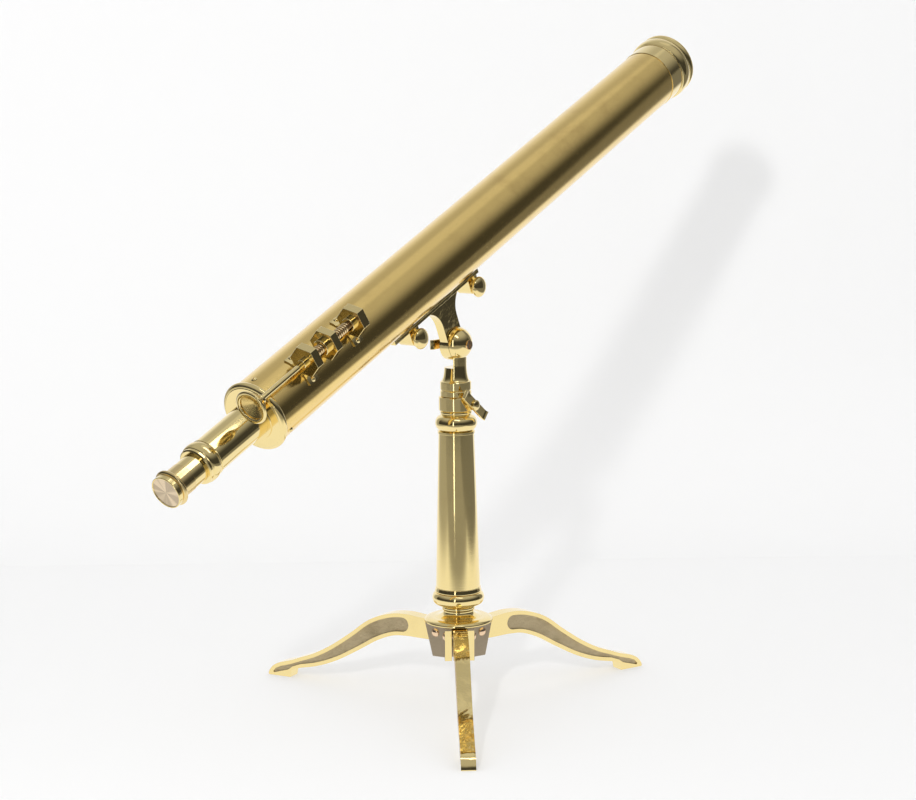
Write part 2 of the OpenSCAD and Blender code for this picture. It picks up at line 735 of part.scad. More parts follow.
module pillar_head() {
    base_top = head_z + head_base_h;
    groove_z = head_z + head_groove_up;
    neck_z = pivot_z - neck_down;
    color("gold") difference() {
        union() {
            rotate_extrude() polygon(concat(
                [[0, head_z - head_spigot_len], [spigot_r, head_z - head_spigot_len], [spigot_r, head_z],
                    [head_r - 1, head_z], [head_r, head_z + 1], [head_r, groove_z - 1.2],
                    [head_r - head_groove, groove_z], [head_r, groove_z + 1.2], [head_r, base_top - 1],
                    [head_r - 0.6, base_top]],
                ellipse_arc(head_r - 0.6, neck_z, head_r - 0.6 - neck_r, neck_z - base_top, 270, 180, 12),
                [[neck_r, pivot_z], [0, pivot_z]]
            ));
            translate([0, 0, pivot_z + ball_up]) sphere(r = ball_r);
        }
        translate([-2 * ball_r, -cheek_y, pivot_z - shoulder_down])
            cube([4 * ball_r, 3 * ball_r, 3 * ball_r]);
        translate([0, past - cheek_y, pivot_z]) rotate([90, 0, 0]) cylinder(r = pivot_r + seat_gap, h = 2 * ball_r);
        translate([0, 1.6 - ball_r, pivot_z]) rotate([90, 0, 0]) cylinder(r = pivot_head_r + 1.6, h = ball_r);
    }
}

module pivot_screw() {
    seat_y = ball_r - 1.6;
    color("darkgoldenrod") translate([0, 0, pivot_z]) rotate([90, 0, 0]) difference() {
        union() {
            translate([0, 0, -nut_in_y - nut_hub_len - 1]) cylinder(r = pivot_r, h = nut_in_y + nut_hub_len + 1 + seat_y);
            translate([0, 0, seat_y]) cylinder(r = pivot_head_r, h = 2.6);
        }
        translate([-0.7, -pivot_head_r - past, seat_y + 1.2]) cube([1.4, 2 * pivot_head_r + 2 * past, 3]);
    }
}

module pivot_washers() {
    color("peru") translate([0, 0, pivot_z]) rotate([-90, 0, 0]) difference() {
        union() {
            translate([0, 0, -cheek_y]) cylinder(r = washer_r, h = near_washer_t);
            translate([0, 0, arm_far_y]) cylinder(r = washer_r - 2, h = far_washer_t);
        }
        translate([0, 0, -cheek_y - past]) cylinder(r = pivot_r + run_gap, h = cheek_y + nut_in_y + 2 * past);
    }
}

module altitude_wing_nut() {
    color("gold") translate([0, 0, pivot_z]) rotate([-90, 0, 0]) difference() {
        union() {
            translate([0, 0, nut_in_y]) cylinder(r = nut_hub_r, h = nut_hub_len);
            translate([0, 0, nut_in_y + nut_wing_in]) wings(nut_half_span);
        }
        translate([0, 0, nut_in_y - past]) cylinder(r = pivot_r + run_gap, h = nut_hub_len + 3 * past);
    }
}

module boss_stations() {
    for (s = [-rear_boss_s, front_boss_s]) translate([s, 0, 0]) children();
}

module saddle_arm() {
    slot_y = arm_mid_y - 1 - tongue_t / 2 - tongue_gap;
    root_n = saddle_low_n + 0.5;
    color("goldenrod") tube_frame() difference() {
        union() {
            translate([-saddle_rear, -saddle_half_w, saddle_low_n])
                cube([saddle_rear + saddle_front, 2 * saddle_half_w, saddle_depth - shoe_t]);
            translate([0, arm_far_y, 0]) rotate([90, 0, 0]) cylinder(r = arm_disc_r, h = arm_disc_t);
            translate([0, arm_far_y - web_step, 0]) rotate([90, 0, 0])
                linear_extrude(arm_disc_t - 2 * web_step) {
                    translate([-waist_rear, 0]) square([waist_rear + waist_front, waist_n]);
                    difference() {
                        translate([-waist_rear - web_flare, waist_n - 4])
                            square([waist_rear + waist_front + 2 * web_flare + 6, root_n - waist_n + 4]);
                        translate([-waist_rear - web_curve_r, waist_n - 1]) circle(r = web_curve_r);
                        translate([waist_front + web_curve_r, waist_n + 1]) circle(r = web_curve_r);
                    }
                }
            boss_stations() {
                translate([0, boss_far_y, boss_n]) rotate([90, 0, 0])
                    cylinder(r = boss_r, h = boss_near_y + boss_far_y);
                translate([-boss_r, -boss_near_y, boss_n])
                    cube([2 * boss_r, boss_near_y + boss_far_y, saddle_low_n - boss_n + past]);
            }
        }
        boss_stations() {
            translate([-tongue_half - tongue_gap, slot_y, boss_n])
                cube([2 * (tongue_half + tongue_gap), tongue_t + 2 * tongue_gap, axis_h - boss_n]);
            translate([0, slot_y + tongue_t + 2 * tongue_gap, boss_n]) rotate([90, 0, 0])
                cylinder(r = tongue_half + tongue_gap, h = tongue_t + 2 * tongue_gap);
            translate([0, boss_far_y + past, boss_n]) rotate([90, 0, 0])
                cylinder(r = clamp_r + run_gap, h = boss_near_y + boss_far_y + 2 * past);
        }
        translate([0, arm_far_y + past, 0]) rotate([90, 0, 0])
            cylinder(r = pivot_r + run_gap, h = arm_disc_t + 2 * past);
    }
}

module tube_shoe() {
    tongue_y = arm_mid_y - 1 - tongue_t / 2;
    color("goldenrod") tube_frame() difference() {
        union() {
            translate([-saddle_rear, -saddle_half_w, shoe_low_n])
                cube([saddle_rear + saddle_front, 2 * saddle_half_w, shoe_t + 4]);
            boss_stations() {
                translate([-tongue_half, tongue_y, boss_n]) cube([2 * tongue_half, tongue_t, shoe_low_n - boss_n + past]);
                translate([0, tongue_y + tongue_t, boss_n]) rotate([90, 0, 0]) cylinder(r = tongue_half, h = tongue_t);
            }
        }
        translate([-saddle_rear - past, 0, axis_h]) rotate([0, 90, 0])
            cylinder(r = tube_r, h = saddle_rear + saddle_front + 2 * past);
        boss_stations() translate([0, boss_far_y, boss_n]) rotate([90, 0, 0])
            cylinder(r = clamp_r + run_gap, h = boss_near_y + boss_far_y);
        shoe_screw_places() translate([0, 0, -tube_r - shoe_t - past]) cylinder(r = screw_r + seat_gap, h = shoe_t + 3 * past);
    }
}

// Places of the screws that hold the shoe, on the tube's axis
module shoe_screw_places() {
    for (s = [-saddle_rear + 12, (front_boss_s - rear_boss_s) / 2, saddle_front - 28])
        translate([s, 0, axis_h]) children();
}

module shoe_screws() {
    color("dimgray") tube_frame() shoe_screw_places() {
        translate([0, 0, -tube_r - shoe_t + 0.2]) cylinder(r = screw_r, h = shoe_t + tube_wall);
        translate([0, 0, -tube_ir + 0.15]) cylinder(r = screw_head_r, h = 1.6);
    }
}

module clamp_screw(station) {
    neck = 2;
    color("gold") tube_frame() translate([station, 0, boss_n]) rotate([90, 0, 0]) {
        translate([0, 0, -boss_far_y]) cylinder(r = clamp_r, h = boss_far_y + boss_near_y + neck);
        translate([0, 0, boss_near_y]) rotate_extrude() polygon(concat(
            [[0, 0.1], [clamp_head_r * 0.6, 0.1], [clamp_head_r * 0.6, neck]],
            ellipse_arc(0, neck + (clamp_head_h - neck) * 0.42, clamp_head_r, (clamp_head_h - neck) * 0.42, -50, 0, 6),
            ellipse_arc(0, neck + (clamp_head_h - neck) * 0.42, clamp_head_r, (clamp_head_h - neck) * 0.58, 0, 90, 14)
        ));
    }
}

module rear_clamp_screw() {
    clamp_screw(-rear_boss_s);
}

module front_clamp_screw() {
    clamp_screw(front_boss_s);
}

module plate_screw_places() {
    for (i = [0:plate_screw_count - 1])
        radial(plate_back_s + plate_screw_in, plate_screw_start + i * 360 / plate_screw_count) children();
}

module foot_screw_places() {
    for (s = [rear_block_back + foot_w / 2, front_block_back + foot_w / 2 - 2])
        for (side = [-1, 1]) radial(s, gear_angle + side * foot_screw_angle) children();
}

module main_tube() {
    color("goldenrod") difference() {
        turned([[tube_ir, plate_back_s], [tube_r, plate_back_s], [tube_r, tube_front], [tube_ir, tube_front]]);
        radial(0, gear_angle) translate([slot_back_s, -post_w / 2 - slot_side, tube_r - tube_wall - 4])
            cube([slot_front_s - slot_back_s, post_w + 2 * slot_side, tube_wall + 8]);
        plate_screw_places() cylinder(r = screw_r + seat_gap, h = tube_r + past);
        foot_screw_places() cylinder(r = screw_r + seat_gap, h = tube_r + past);
        tube_frame() shoe_screw_places() translate([0, 0, -tube_r - past]) cylinder(r = screw_r + seat_gap, h = tube_r);
    }
}

module eye_plate() {
    edge = plate_r - plate_face_r;
    color("gold") difference() {
        turned(concat(
            [[bush_r + seat_gap, plate_back_s], [bush_r + seat_gap, plate_face_s], [plate_face_r - 0.8, plate_face_s],
                [plate_face_r, plate_face_s + 0.5]],
            ellipse_arc(plate_face_r, plate_face_s + plate_t * 0.55, edge, plate_t * 0.5, -90, 60, 12),
            [[tube_r, plate_back_s], [spigot_out_r, plate_back_s], [spigot_out_r, plate_back_s + plate_spigot],
                [spigot_in_r, plate_back_s + plate_spigot], [spigot_in_r, plate_back_s]]
        ));
        plate_screw_places() cylinder(r = screw_r + seat_gap, h = tube_r + past);
    }
}

module focus_bush() {
    color("darkgoldenrod") turned([
        [focus_r + run_gap, plate_face_s - bush_lip], [bush_r + 1, plate_face_s - bush_lip],
        [bush_r + 1.4, plate_face_s - 0.4], [bush_r + 1.4, plate_face_s], [bush_r, plate_face_s],
        [bush_r, plate_face_s + bush_len], [focus_r + run_gap, plate_face_s + bush_len]
    ]);
}

module eye_plate_screws() {
    color("gold") plate_screw_places() translate([0, 0, tube_r]) small_screw(tube_wall + 1.8);
}

// Curved foot of a gear block, centred on a station
module block_foot(mid) {
    tube_frame() translate([mid - foot_w / 2, 0, axis_h]) rotate([gear_angle, 0, 0]) rotate([0, 90, 0])
        rotate([0, 0, 180 - foot_angle]) rotate_extrude(angle = 2 * foot_angle)
            translate([tube_r, 0]) square([foot_t, foot_w]);
}

module gear_bracket(back, thick, foot_mid, boss_radius) {
    color("goldenrod") difference() {
        union() {
            difference() {
                gear_axis() {
                    translate([0, 0, back]) cylinder(r = hex_r, h = thick, $fn = 6);
                    translate([0, 0, back - block_boss_len]) cylinder(r = boss_radius, h = block_boss_len + past);
                }
                tube_axis() translate([0, 0, back - block_boss_len - past])
                    cylinder(r = tube_r, h = thick + block_boss_len + 2 * past);
            }
            block_foot(foot_mid);
        }
        gear_axis() translate([0, 0, back - block_boss_len - past])
            cylinder(r = rod_r + run_gap, h = thick + block_boss_len + 2 * past);
        foot_screw_places() translate([0, 0, tube_r - past]) cylinder(r = screw_r + seat_gap, h = foot_t + 2 * past);
    }
}

module gear_bracket_rear() {
    gear_bracket(rear_block_back, rear_block_t, rear_block_back + foot_w / 2, rear_boss_r);
}

module gear_bracket_front() {
    gear_bracket(front_block_back, front_block_t, front_block_back + foot_w / 2 - 2, front_boss_r);
}

module bracket_screws() {
    color("gold") foot_screw_places() translate([0, 0, tube_r + foot_t]) small_screw(foot_t + tube_wall);
}

module objective_sleeve() {
    color("gold") turned([
        [spigot_in_r, tube_front - spigot_len], [spigot_out_r, tube_front - spigot_len], [spigot_out_r, tube_front],
        [sleeve_r, tube_front], [sleeve_r, sleeve_end_s], [tube_ir, sleeve_end_s],
        [tube_ir, sleeve_end_s - spigot_len - 0.3], [spigot_in_r, sleeve_end_s - spigot_len - 2.3]
    ]);
}

module objective_cell() {
    bead_len = cell_len * 0.6;
    rim_len = cell_len * 0.34;
    groove_s = sleeve_end_s + bead_len + cell_len * 0.03;
    inner_r = spigot_out_r - cell_wall;
    color("gold") turned(concat(
        [[inner_r, sleeve_end_s - spigot_len], [spigot_out_r, sleeve_end_s - spigot_len], [spigot_out_r, sleeve_end_s],
            [sleeve_r + 0.4, sleeve_end_s]],
        ellipse_arc(sleeve_r + 0.4, sleeve_end_s + 1 + bead_len / 2, cell_bead_r - sleeve_r - 0.4, bead_len / 2,
            -80, 80, 14),
        [[cell_groove_r, groove_s - 0.6], [cell_groove_r, groove_s + 0.6]],
        ellipse_arc(cell_rim_r - rim_len * 0.28, cell_end_s - rim_len / 2, rim_len * 0.28, rim_len / 2, -70, 80, 12),
        [[front_bore_r + chamfer, cell_end_s], [front_bore_r, cell_end_s - chamfer],
            [front_bore_r, cell_end_s - front_bore_len], [lens_r - lens_ledge, cell_end_s - front_bore_len],
            [lens_r - lens_ledge, lens_seat_s], [cell_bore_r, lens_seat_s], [cell_bore_r, sleeve_end_s]]
    ));
}

// Points on a curved lens face from the axis to the rim, bulging at the axis
function lens_face(station, bulge) =
    [for (i = [0:lens_steps]) [lens_r * i / lens_steps, station + bulge * (1 - pow(i / lens_steps, 2))]];
lens_sag = lens_r * lens_r / (2 * lens_curve_r);
crown_back_s = lens_seat_s - lens_gap - crown_t + 2 * lens_sag;
flint_back_s = crown_back_s - lens_gap - flint_t;

module crown_lens() {
    face = lens_face(crown_back_s, -lens_sag);
    front = lens_face(crown_back_s + crown_t - 2 * lens_sag, lens_sag);
    color("lightcyan") turned(concat(face, [for (i = [lens_steps:-1:0]) front[i]]));
}

module flint_lens() {
    front = lens_face(crown_back_s - lens_gap, -lens_sag);
    color("lightcyan") turned(concat(
        [[0, flint_back_s], [lens_r, flint_back_s]], [for (i = [lens_steps:-1:0]) front[i]]));
}

module lens_retaining_ring() {
    front = flint_back_s;
    color("darkgoldenrod") turned([
        [lens_r - lens_ledge, front - retainer_len], [cell_bore_r - seat_gap, front - retainer_len],
        [cell_bore_r - seat_gap, front - lens_gap], [lens_r - lens_ledge, front - lens_gap]
    ]);
}

module tube_baffles() {
    color("dimgray") for (i = [0:baffle_count - 1]) {
        s = tube_front - baffle_in - i * baffle_pitch;
        turned([[baffle_hole_r, s], [spigot_out_r, s], [spigot_out_r, s + baffle_flange],
            [spigot_out_r - baffle_flange_t, s + baffle_flange], [spigot_out_r - baffle_flange_t, s + baffle_t],
            [baffle_hole_r, s + baffle_t]]);
    }
}

module focus_rod() {
    color("silver") gear_axis() translate([0, 0, knob_rim_s + knob_recess + 1])
        cylinder(r = rod_r, h = rod_end_s - knob_rim_s - knob_recess - 1);
}

// Ends of the lead screw between the two blocks
screw_back_s = rear_block_front + 0.2;
screw_front_s = front_block_back - block_boss_len - 0.2;
core_r = thread_r - ridge_r;
thread_turns = floor((screw_front_s - screw_back_s - 2 * ridge_r - 2) / thread_pitch);
thread_back_s = (screw_back_s + screw_front_s - thread_turns * thread_pitch) / 2;
curl_rings = 8;
curl_sides = 6;

// Centre of the ridge after a number of turns, and the directions across it
function ridge_mid(t) = [core_r * cos(360 * t), core_r * sin(360 * t), thread_back_s + thread_pitch * t];
function ridge_out(t) = [cos(360 * t), sin(360 * t), 0];
function ridge_along(t) =
    let (v = [-sin(360 * t) * 2 * PI * core_r, cos(360 * t) * 2 * PI * core_r, thread_pitch]) v / norm(v);
function ridge_point(t, k) =
    let (a = 360 * k / curl_sides, side = cross(ridge_along(t), ridge_out(t)))
        ridge_mid(t) + ridge_r * (cos(a) * ridge_out(t) + sin(a) * side);
ridge_steps = thread_turns * curl_rings;
ridge_points = [for (i = [0:ridge_steps]) for (k = [0:curl_sides - 1]) ridge_point(i / curl_rings, k)];
ridge_faces = concat(
    [for (k = [1:curl_sides - 2]) [0, k, k + 1]],
    [for (i = [0:ridge_steps - 1]) for (k = [0:curl_sides - 1])
        let (a = i * curl_sides + k, b = i * curl_sides + (k + 1) % curl_sides)
            [a, a + curl_sides, b]],
    [for (i = [0:ridge_steps - 1]) for (k = [0:curl_sides - 1])
        let (a = i * curl_sides + k, b = i * curl_sides + (k + 1) % curl_sides)
            [b, a + curl_sides, b + curl_sides]],
    [for (k = [1:curl_sides - 2])
        [ridge_steps * curl_sides, ridge_steps * curl_sides + k + 1, ridge_steps * curl_sides + k]]
);
// Least gap between neighbouring turns of the ridge, measured on its points
ridge_gap = min([for (i = [0:curl_rings - 1]) for (j = [0:curl_sides - 1]) for (k = [0:curl_sides - 1])
    norm(ridge_point(1 + i / curl_rings, j) - ridge_point(2 + i / curl_rings, k))]);
echo(least_gap_between_thread_turns = ridge_gap);

module lead_screw() {
    color("peru") gear_axis() difference() {
        union() {
            translate([0, 0, screw_back_s]) cylinder(r = core_r, h = screw_front_s - screw_back_s);
            polyhedron(points = ridge_points, faces = ridge_faces, convexity = 10);
        }
        translate([0, 0, screw_back_s - past]) cylinder(r = rod_r + seat_gap, h = screw_front_s - screw_back_s + 2 * past);
    }
}

module focus_knob() {
    rim = knob_r - knob_roll_r;
    color("gold") gear_axis() difference() {
        rotate_extrude() polygon(concat(
            [[0, knob_rim_s + knob_recess], [rod_r + 2, knob_rim_s + knob_recess - 0.4],
                [rim - knob_roll_r * 0.6, knob_rim_s - knob_roll_r * 0.5]],
            arc(rim, knob_rim_s, knob_roll_r, 230, 420, 14),
            [[knob_r * 0.62, knob_back_s - 2.4], [knob_neck_r + 0.6, knob_back_s], [knob_neck_r, knob_back_s + 1],
                [knob_neck_r, knob_back_s + knob_neck], [0, knob_back_s + knob_neck]]
        ));
        translate([0, 0, knob_rim_s + knob_recess + 1]) cylinder(r = rod_r + seat_gap, h = 2 * knob_neck + 10);
    }
}

module focus_nut() {
    color("goldenrod") difference() {
        union() {
            difference() {
                gear_axis() {
                    translate([0, 0, nut_back_s]) cylinder(r = hex_r, h = nut_t, $fn = 6);
                    translate([0, 0, nut_back_s - nut_collar_len]) cylinder(r = nut_collar_r, h = nut_collar_len + past);
                }
                tube_axis() translate([0, 0, nut_back_s - nut_collar_len - past])
                    cylinder(r = tube_r + nut_lift, h = nut_t + nut_collar_len + 2 * past);
            }
            radial(nut_mid_s - post_len / 2, gear_angle) translate([0, -post_w / 2, carriage_r - 1])
                cube([post_len, post_w, gear_rho - carriage_r - thread_r]);
        }
        gear_axis() translate([0, 0, nut_back_s - nut_collar_len - past])
            cylinder(r = thread_r + run_gap + 0.02, h = nut_t + nut_collar_len + 2 * past);
        radial(nut_mid_s, gear_angle) translate([0, 0, carriage_r - 2]) cylinder(r = screw_r + seat_gap, h = 8);
    }
}

module focus_carriage() {
    color("darkgoldenrod") difference() {
        turned([
            [focus_r + seat_gap, nut_mid_s - carriage_len / 2], [carriage_r, nut_mid_s - carriage_len / 2],
            [carriage_r, nut_mid_s + carriage_len / 2], [focus_r + seat_gap, nut_mid_s + carriage_len / 2]
        ]);
        for (a = [0, 120, 240])
            radial(nut_mid_s - carriage_len, gear_angle + 60 + a) translate([0, 0, (focus_r + carriage_r) / 2])
                rotate([0, 90, 0]) cylinder(r = (carriage_r - focus_r) / 2 - 3, h = 2 * carriage_len);
        radial(nut_mid_s, gear_angle) {
            translate([-post_len / 2 - 0.1, -post_w / 2 - 0.1, carriage_r - 1]) cube([post_len + 0.2, post_w + 0.2, 4]);
            cylinder(r = screw_r + seat_gap, h = carriage_r + past);
            translate([0, 0, focus_r - past]) cylinder(r = screw_head_r + 0.3, h = past + 3);
        }
    }
}

module carriage_screws() {
    color("dimgray") radial(nut_mid_s, gear_angle) {
        translate([0, 0, focus_r + 0.4]) cylinder(r = screw_head_r, h = 2.4);
        translate([0, 0, focus_r + 2]) cylinder(r = screw_r, h = carriage_r - focus_r + 2.5);
    }
}

module focus_tube() {
    color("gold") turned([
        [focus_ir, ring_eye_s + ring_len], [focus_r, ring_eye_s + ring_len],
        [focus_r, -focus_inner_s], [focus_ir, -focus_inner_s]
    ]);
}

module focus_ring() {
    bore_r = draw_r + run_gap;
    front = ring_eye_s + ring_len;
    color("gold") turned(concat(
        [[bore_r, ring_eye_s], [focus_r - 1.2, ring_eye_s], [focus_r + 0.3, ring_eye_s + 1.2],
            [focus_r + 0.3, ring_eye_s + 4]],
        ellipse_arc(focus_r + 0.3, ring_eye_s + ring_len * 0.52, ring_r - focus_r - 0.3, ring_len * 0.32, -80, 80, 12),
        [[focus_r + 0.3, front - 2], [focus_r + 0.8, front - 1.6], [focus_r + 0.8, front - 0.4], [focus_r, front],
            [liner_r, front], [liner_r, ring_eye_s + liner_len], [bore_r, ring_eye_s + liner_len]]
    ));
}

module eyepiece_tube() {
    color("gold") turned([
        [draw_ir, draw_eye_s], [draw_r, draw_eye_s], [draw_r, draw_inner_s], [draw_ir, draw_inner_s]
    ]);
}

module eyepiece_body() {
    plug_r = draw_ir - seat_gap;
    color("gold") turned(concat(
        [[eye_lens_r + seat_gap, draw_eye_s + eye_plug_len], [eye_lens_r + seat_gap, nose_s + eye_web],
            [eye_hole_r, nose_s + eye_web],
            [eye_hole_r, nose_s - nose_len], [nose_r, nose_s - nose_len], [nose_r, nose_s],
            [eye_body_r + 1, nose_s], [eye_body_r + 1, nose_s + 1]],
        ellipse_arc(eye_body_r, nose_s + 1 + eye_bead_len * 0.42, eye_bead_r - eye_body_r, eye_bead_len * 0.42, -80, 90, 12),
        [[eye_body_r, eye_bead_s + 1], [eye_body_r, draw_eye_s], [plug_r, draw_eye_s],
            [plug_r, draw_eye_s + eye_plug_len]]
    ));
}

module eye_lens() {
    back = nose_s + eye_web + 0.1;
    color("lightcyan") tube_axis() intersection() {
        translate([0, 0, back]) cylinder(r = eye_lens_r, h = eye_lens_t);
        translate([0, 0, back + eye_lens_t - eye_curve_r]) sphere(r = eye_curve_r);
    }
}

module field_lens() {
    lens_s = draw_eye_s + field_lens_in;
    color("lightcyan") tube_axis() intersection() {
        translate([0, 0, lens_s]) cylinder(r = field_lens_r, h = field_lens_t);
        translate([0, 0, lens_s + field_lens_t - field_curve_r]) sphere(r = field_curve_r);
    }
}

module eye_stop() {
    lens_s = draw_eye_s + field_lens_in;
    color("dimgray") turned([
        [stop_hole_r, lens_s - stop_t], [draw_ir - seat_gap, lens_s - stop_t],
        [draw_ir - seat_gap, lens_s + field_lens_t + 2], [lens_cell_r, lens_s + field_lens_t + 2],
        [lens_cell_r, lens_s - 0.1], [stop_hole_r, lens_s - 0.1]
    ]);
}

module erector_cell() {
    end = draw_inner_s - 2;
    back = end - erector_len;
    ledge_r = field_lens_r - erector_ledge;
    color("dimgray") turned([
        [ledge_r, back], [draw_ir - seat_gap, back], [draw_ir - seat_gap, end],
        [lens_cell_r, end], [lens_cell_r, end - erector_seat], [ledge_r, end - erector_seat],
        [ledge_r, back + erector_seat], [lens_cell_r, back + erector_seat], [lens_cell_r, back + past],
        [ledge_r, back + past]
    ]);
}

module erector_lenses() {
    end = draw_inner_s - 2;
    color("lightcyan") tube_axis() for (s = [end - erector_seat + 0.1, end - erector_len + 2])
        translate([0, 0, s]) intersection() {
            cylinder(r = field_lens_r, h = erector_t);
            translate([0, 0, erector_t - erector_curve_r]) sphere(r = erector_curve_r);
        }
}

module eyepiece_cap() {
    end = cap_seat_s - cap_len;
    inner = nose_s - nose_len - 0.1;
    color("tan") turned([
        [nose_r + run_gap, inner], [nose_r + run_gap, cap_seat_s], [cap_r - 0.8, cap_seat_s], [cap_r, cap_seat_s - 0.8],
        [cap_r, end + 0.5], [cap_r - 0.5, end], [cap_face_r + 0.3, end], [cap_face_r, end + cap_recess],
        [0, end + cap_recess], [0, inner]
    ]);
}

// Middle line of a leg as radius, height and half depth, from the hub to the heel
leg_path = [
    [hinge_r + 8, hinge_z + 0.4, leg_root_r - 0.8],
    [50.6, 89.8, 13.5], [72.9, 91, 14.3], [95, 88.6, 14.3], [120.5, 78.6, 14.2],
    [148, 60.6, 12.4], [179, 41.8, 10.6], [207, 29, 8.7], [232, 21.5, 6.9]
];
leg_line = curve(leg_path, 5);
leg_last = len(leg_line) - 1;
panel_first = 11;
foot_back_r = foot_tip_r - sole_len;
function leg_side(i) =
    let (a = leg_line[max(i - 1, 0)], b = leg_line[min(i + 1, leg_last)], d = [b[0] - a[0], b[1] - a[1]])
        [-d[1], d[0]] / norm(d);
function leg_edge(i, side, less) =
    [leg_line[i][0], leg_line[i][1]] + side * (leg_line[i][2] - less) * leg_side(i);

// Whole outline of a leg: round root, lower edge, heel, sole, toe and upper edge
module leg_shape() {
    polygon(concat(
        arc(hinge_r, hinge_z, leg_root_r, 88, 270, 20),
        [for (i = [0:leg_last]) leg_edge(i, -1, 0)],
        [[foot_back_r - 10, heel_h], [foot_back_r - 2, heel_h - 3.5], [foot_back_r, 0], [foot_tip_r - 1, 0]],
        curve([[foot_tip_r, 1.2], [foot_tip_r - 1.8, 6.2], [foot_tip_r - 8, 13], [foot_tip_r - 18, 18.2],
            [foot_back_r - 2, 23.2]], 4),
        [for (i = [leg_last:-1:0]) leg_edge(i, 1, 0)]
    ));
}

// Recessed panel inside that outline, round at the hub and running into the toe
module panel_shape() {
    mid = leg_line[panel_first];
    side = leg_side(panel_first);
    turn = atan2(side[1], side[0]);
    polygon(concat(
        arc(mid[0], mid[1], mid[2] - border, turn, turn + 180, 14),
        [for (i = [panel_first + 1:leg_last]) leg_edge(i, -1, border)],
        [[foot_back_r - 4, heel_h + 2], [foot_back_r + 3, heel_h - 3], [foot_tip_r - 9, border * 0.7],
            [foot_tip_r - 7.5, border], [foot_tip_r - 12, 10], [foot_tip_r - 20, 13.6],
            [foot_back_r, 17.6]],
        [for (i = [leg_last:-1:panel_first + 1]) leg_edge(i, 1, border)]
    ));
}

module leg(azimuth) {
    color("tan") rotate([0, 0, azimuth]) rotate([90, 0, 0]) difference() {
        translate([0, 0, -leg_t / 2]) linear_extrude(leg_t) leg_shape();
        for (z = [-leg_t / 2 - past, leg_t / 2 - panel_depth])
            translate([0, 0, z]) linear_extrude(panel_depth + past) panel_shape();
        translate([hinge_r, hinge_z, -leg_t]) cylinder(r = hinge_pin_r + run_gap, h = 2 * leg_t);
    }
}

module leg_front() {
    leg(leg_azimuths[0]);
}

module leg_right() {
    leg(leg_azimuths[1]);
}

module leg_left() {
    leg(leg_azimuths[2]);
}

hub_block();
hub_disc();
base_moulding();
pillar_column();
pillar_collar();
tie_rod();
tie_nut();
leg_hinge_screws();
azimuth_wing_screw();
pillar_head();
pivot_screw();
pivot_washers();
altitude_wing_nut();
saddle_arm();
tube_shoe();
shoe_screws();
rear_clamp_screw();
front_clamp_screw();
main_tube();
eye_plate();
focus_bush();
eye_plate_screws();
gear_bracket_rear();
gear_bracket_front();
bracket_screws();
objective_sleeve();
objective_cell();
crown_lens();
flint_lens();
lens_retaining_ring();
tube_baffles();
focus_rod();
lead_screw();
focus_knob();
focus_nut();
focus_carriage();
carriage_screws();
focus_tube();
focus_ring();
eyepiece_tube();
eyepiece_body();
eye_lens();
field_lens();
eye_stop();
erector_cell();
erector_lenses();
eyepiece_cap();
leg_front();
leg_right();
leg_left();
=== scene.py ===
"""Polished brass table telescope on a pillar with three folding legs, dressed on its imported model.

Sizes are in millimetres, as a maker's drawing gives them, and each mesh is brought to metres once.
"""
import logging
import math
from dataclasses import dataclass, field
from enum import Enum

import bmesh
import bpy
from mathutils import Matrix, Vector


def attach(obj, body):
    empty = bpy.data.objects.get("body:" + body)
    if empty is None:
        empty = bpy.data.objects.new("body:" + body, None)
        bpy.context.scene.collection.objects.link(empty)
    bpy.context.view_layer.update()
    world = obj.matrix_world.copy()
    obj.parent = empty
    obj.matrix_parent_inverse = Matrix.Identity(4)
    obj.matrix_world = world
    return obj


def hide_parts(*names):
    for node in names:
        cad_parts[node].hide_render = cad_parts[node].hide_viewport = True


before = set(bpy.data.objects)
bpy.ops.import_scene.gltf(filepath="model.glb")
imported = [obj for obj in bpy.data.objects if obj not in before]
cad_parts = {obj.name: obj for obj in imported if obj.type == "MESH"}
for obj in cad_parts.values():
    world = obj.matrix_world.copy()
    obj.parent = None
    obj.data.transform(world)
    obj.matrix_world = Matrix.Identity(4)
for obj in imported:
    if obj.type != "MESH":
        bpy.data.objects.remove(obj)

LOG = logging.getLogger("telescope")
MM = 0.001
CLOSE = 1e-4
SHARP = 32
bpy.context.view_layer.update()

Outline = list[tuple[float, float]]
Ramp = tuple[float, float, float, float]
Colour = tuple[float, float, float, float]
Mesh = bmesh.types.BMesh
Socket = bpy.types.NodeSocket


class Slot(Enum):
    """The record's material slots."""

    POLISHED = "polished_brass"
    LACQUERED = "lacquered_brass"
    CAST = "cast_brass"
    CAP = "cap_brass"
    BLACK = "black_brass"
    COPPER = "copper_screws"
    STEEL = "steel"
    GLASS = "lens_glass"


class Grain(Enum):
    """Which way the fine marks of polishing run on a piece."""

    TUBE = "tube"
    PILLAR = "pillar"
    CROSS = "cross"
    TUBE_RINGS = "rings round the tube's axis"
    GEAR_RINGS = "rings round the focusing gear's axis"
    NONE = "none"


def arc(cx: float, cy: float, a: float, b: float, start: float, end: float, n: int = 12) -> Outline:
    """Points on an elliptical arc.

    Args:
        cx: Radius of the centre.
        cy: Station of the centre.
        a: Half axis along the radius.
        b: Half axis along the station.
        start: First angle in degrees.
        end: Last angle in degrees.
        n: Number of steps.

    Returns:
        The points, as radius and station.
    """
    angles = [math.radians(start + (end - start) * i / n) for i in range(n + 1)]
    return [(cx + a * math.cos(t), cy + b * math.sin(t)) for t in angles]


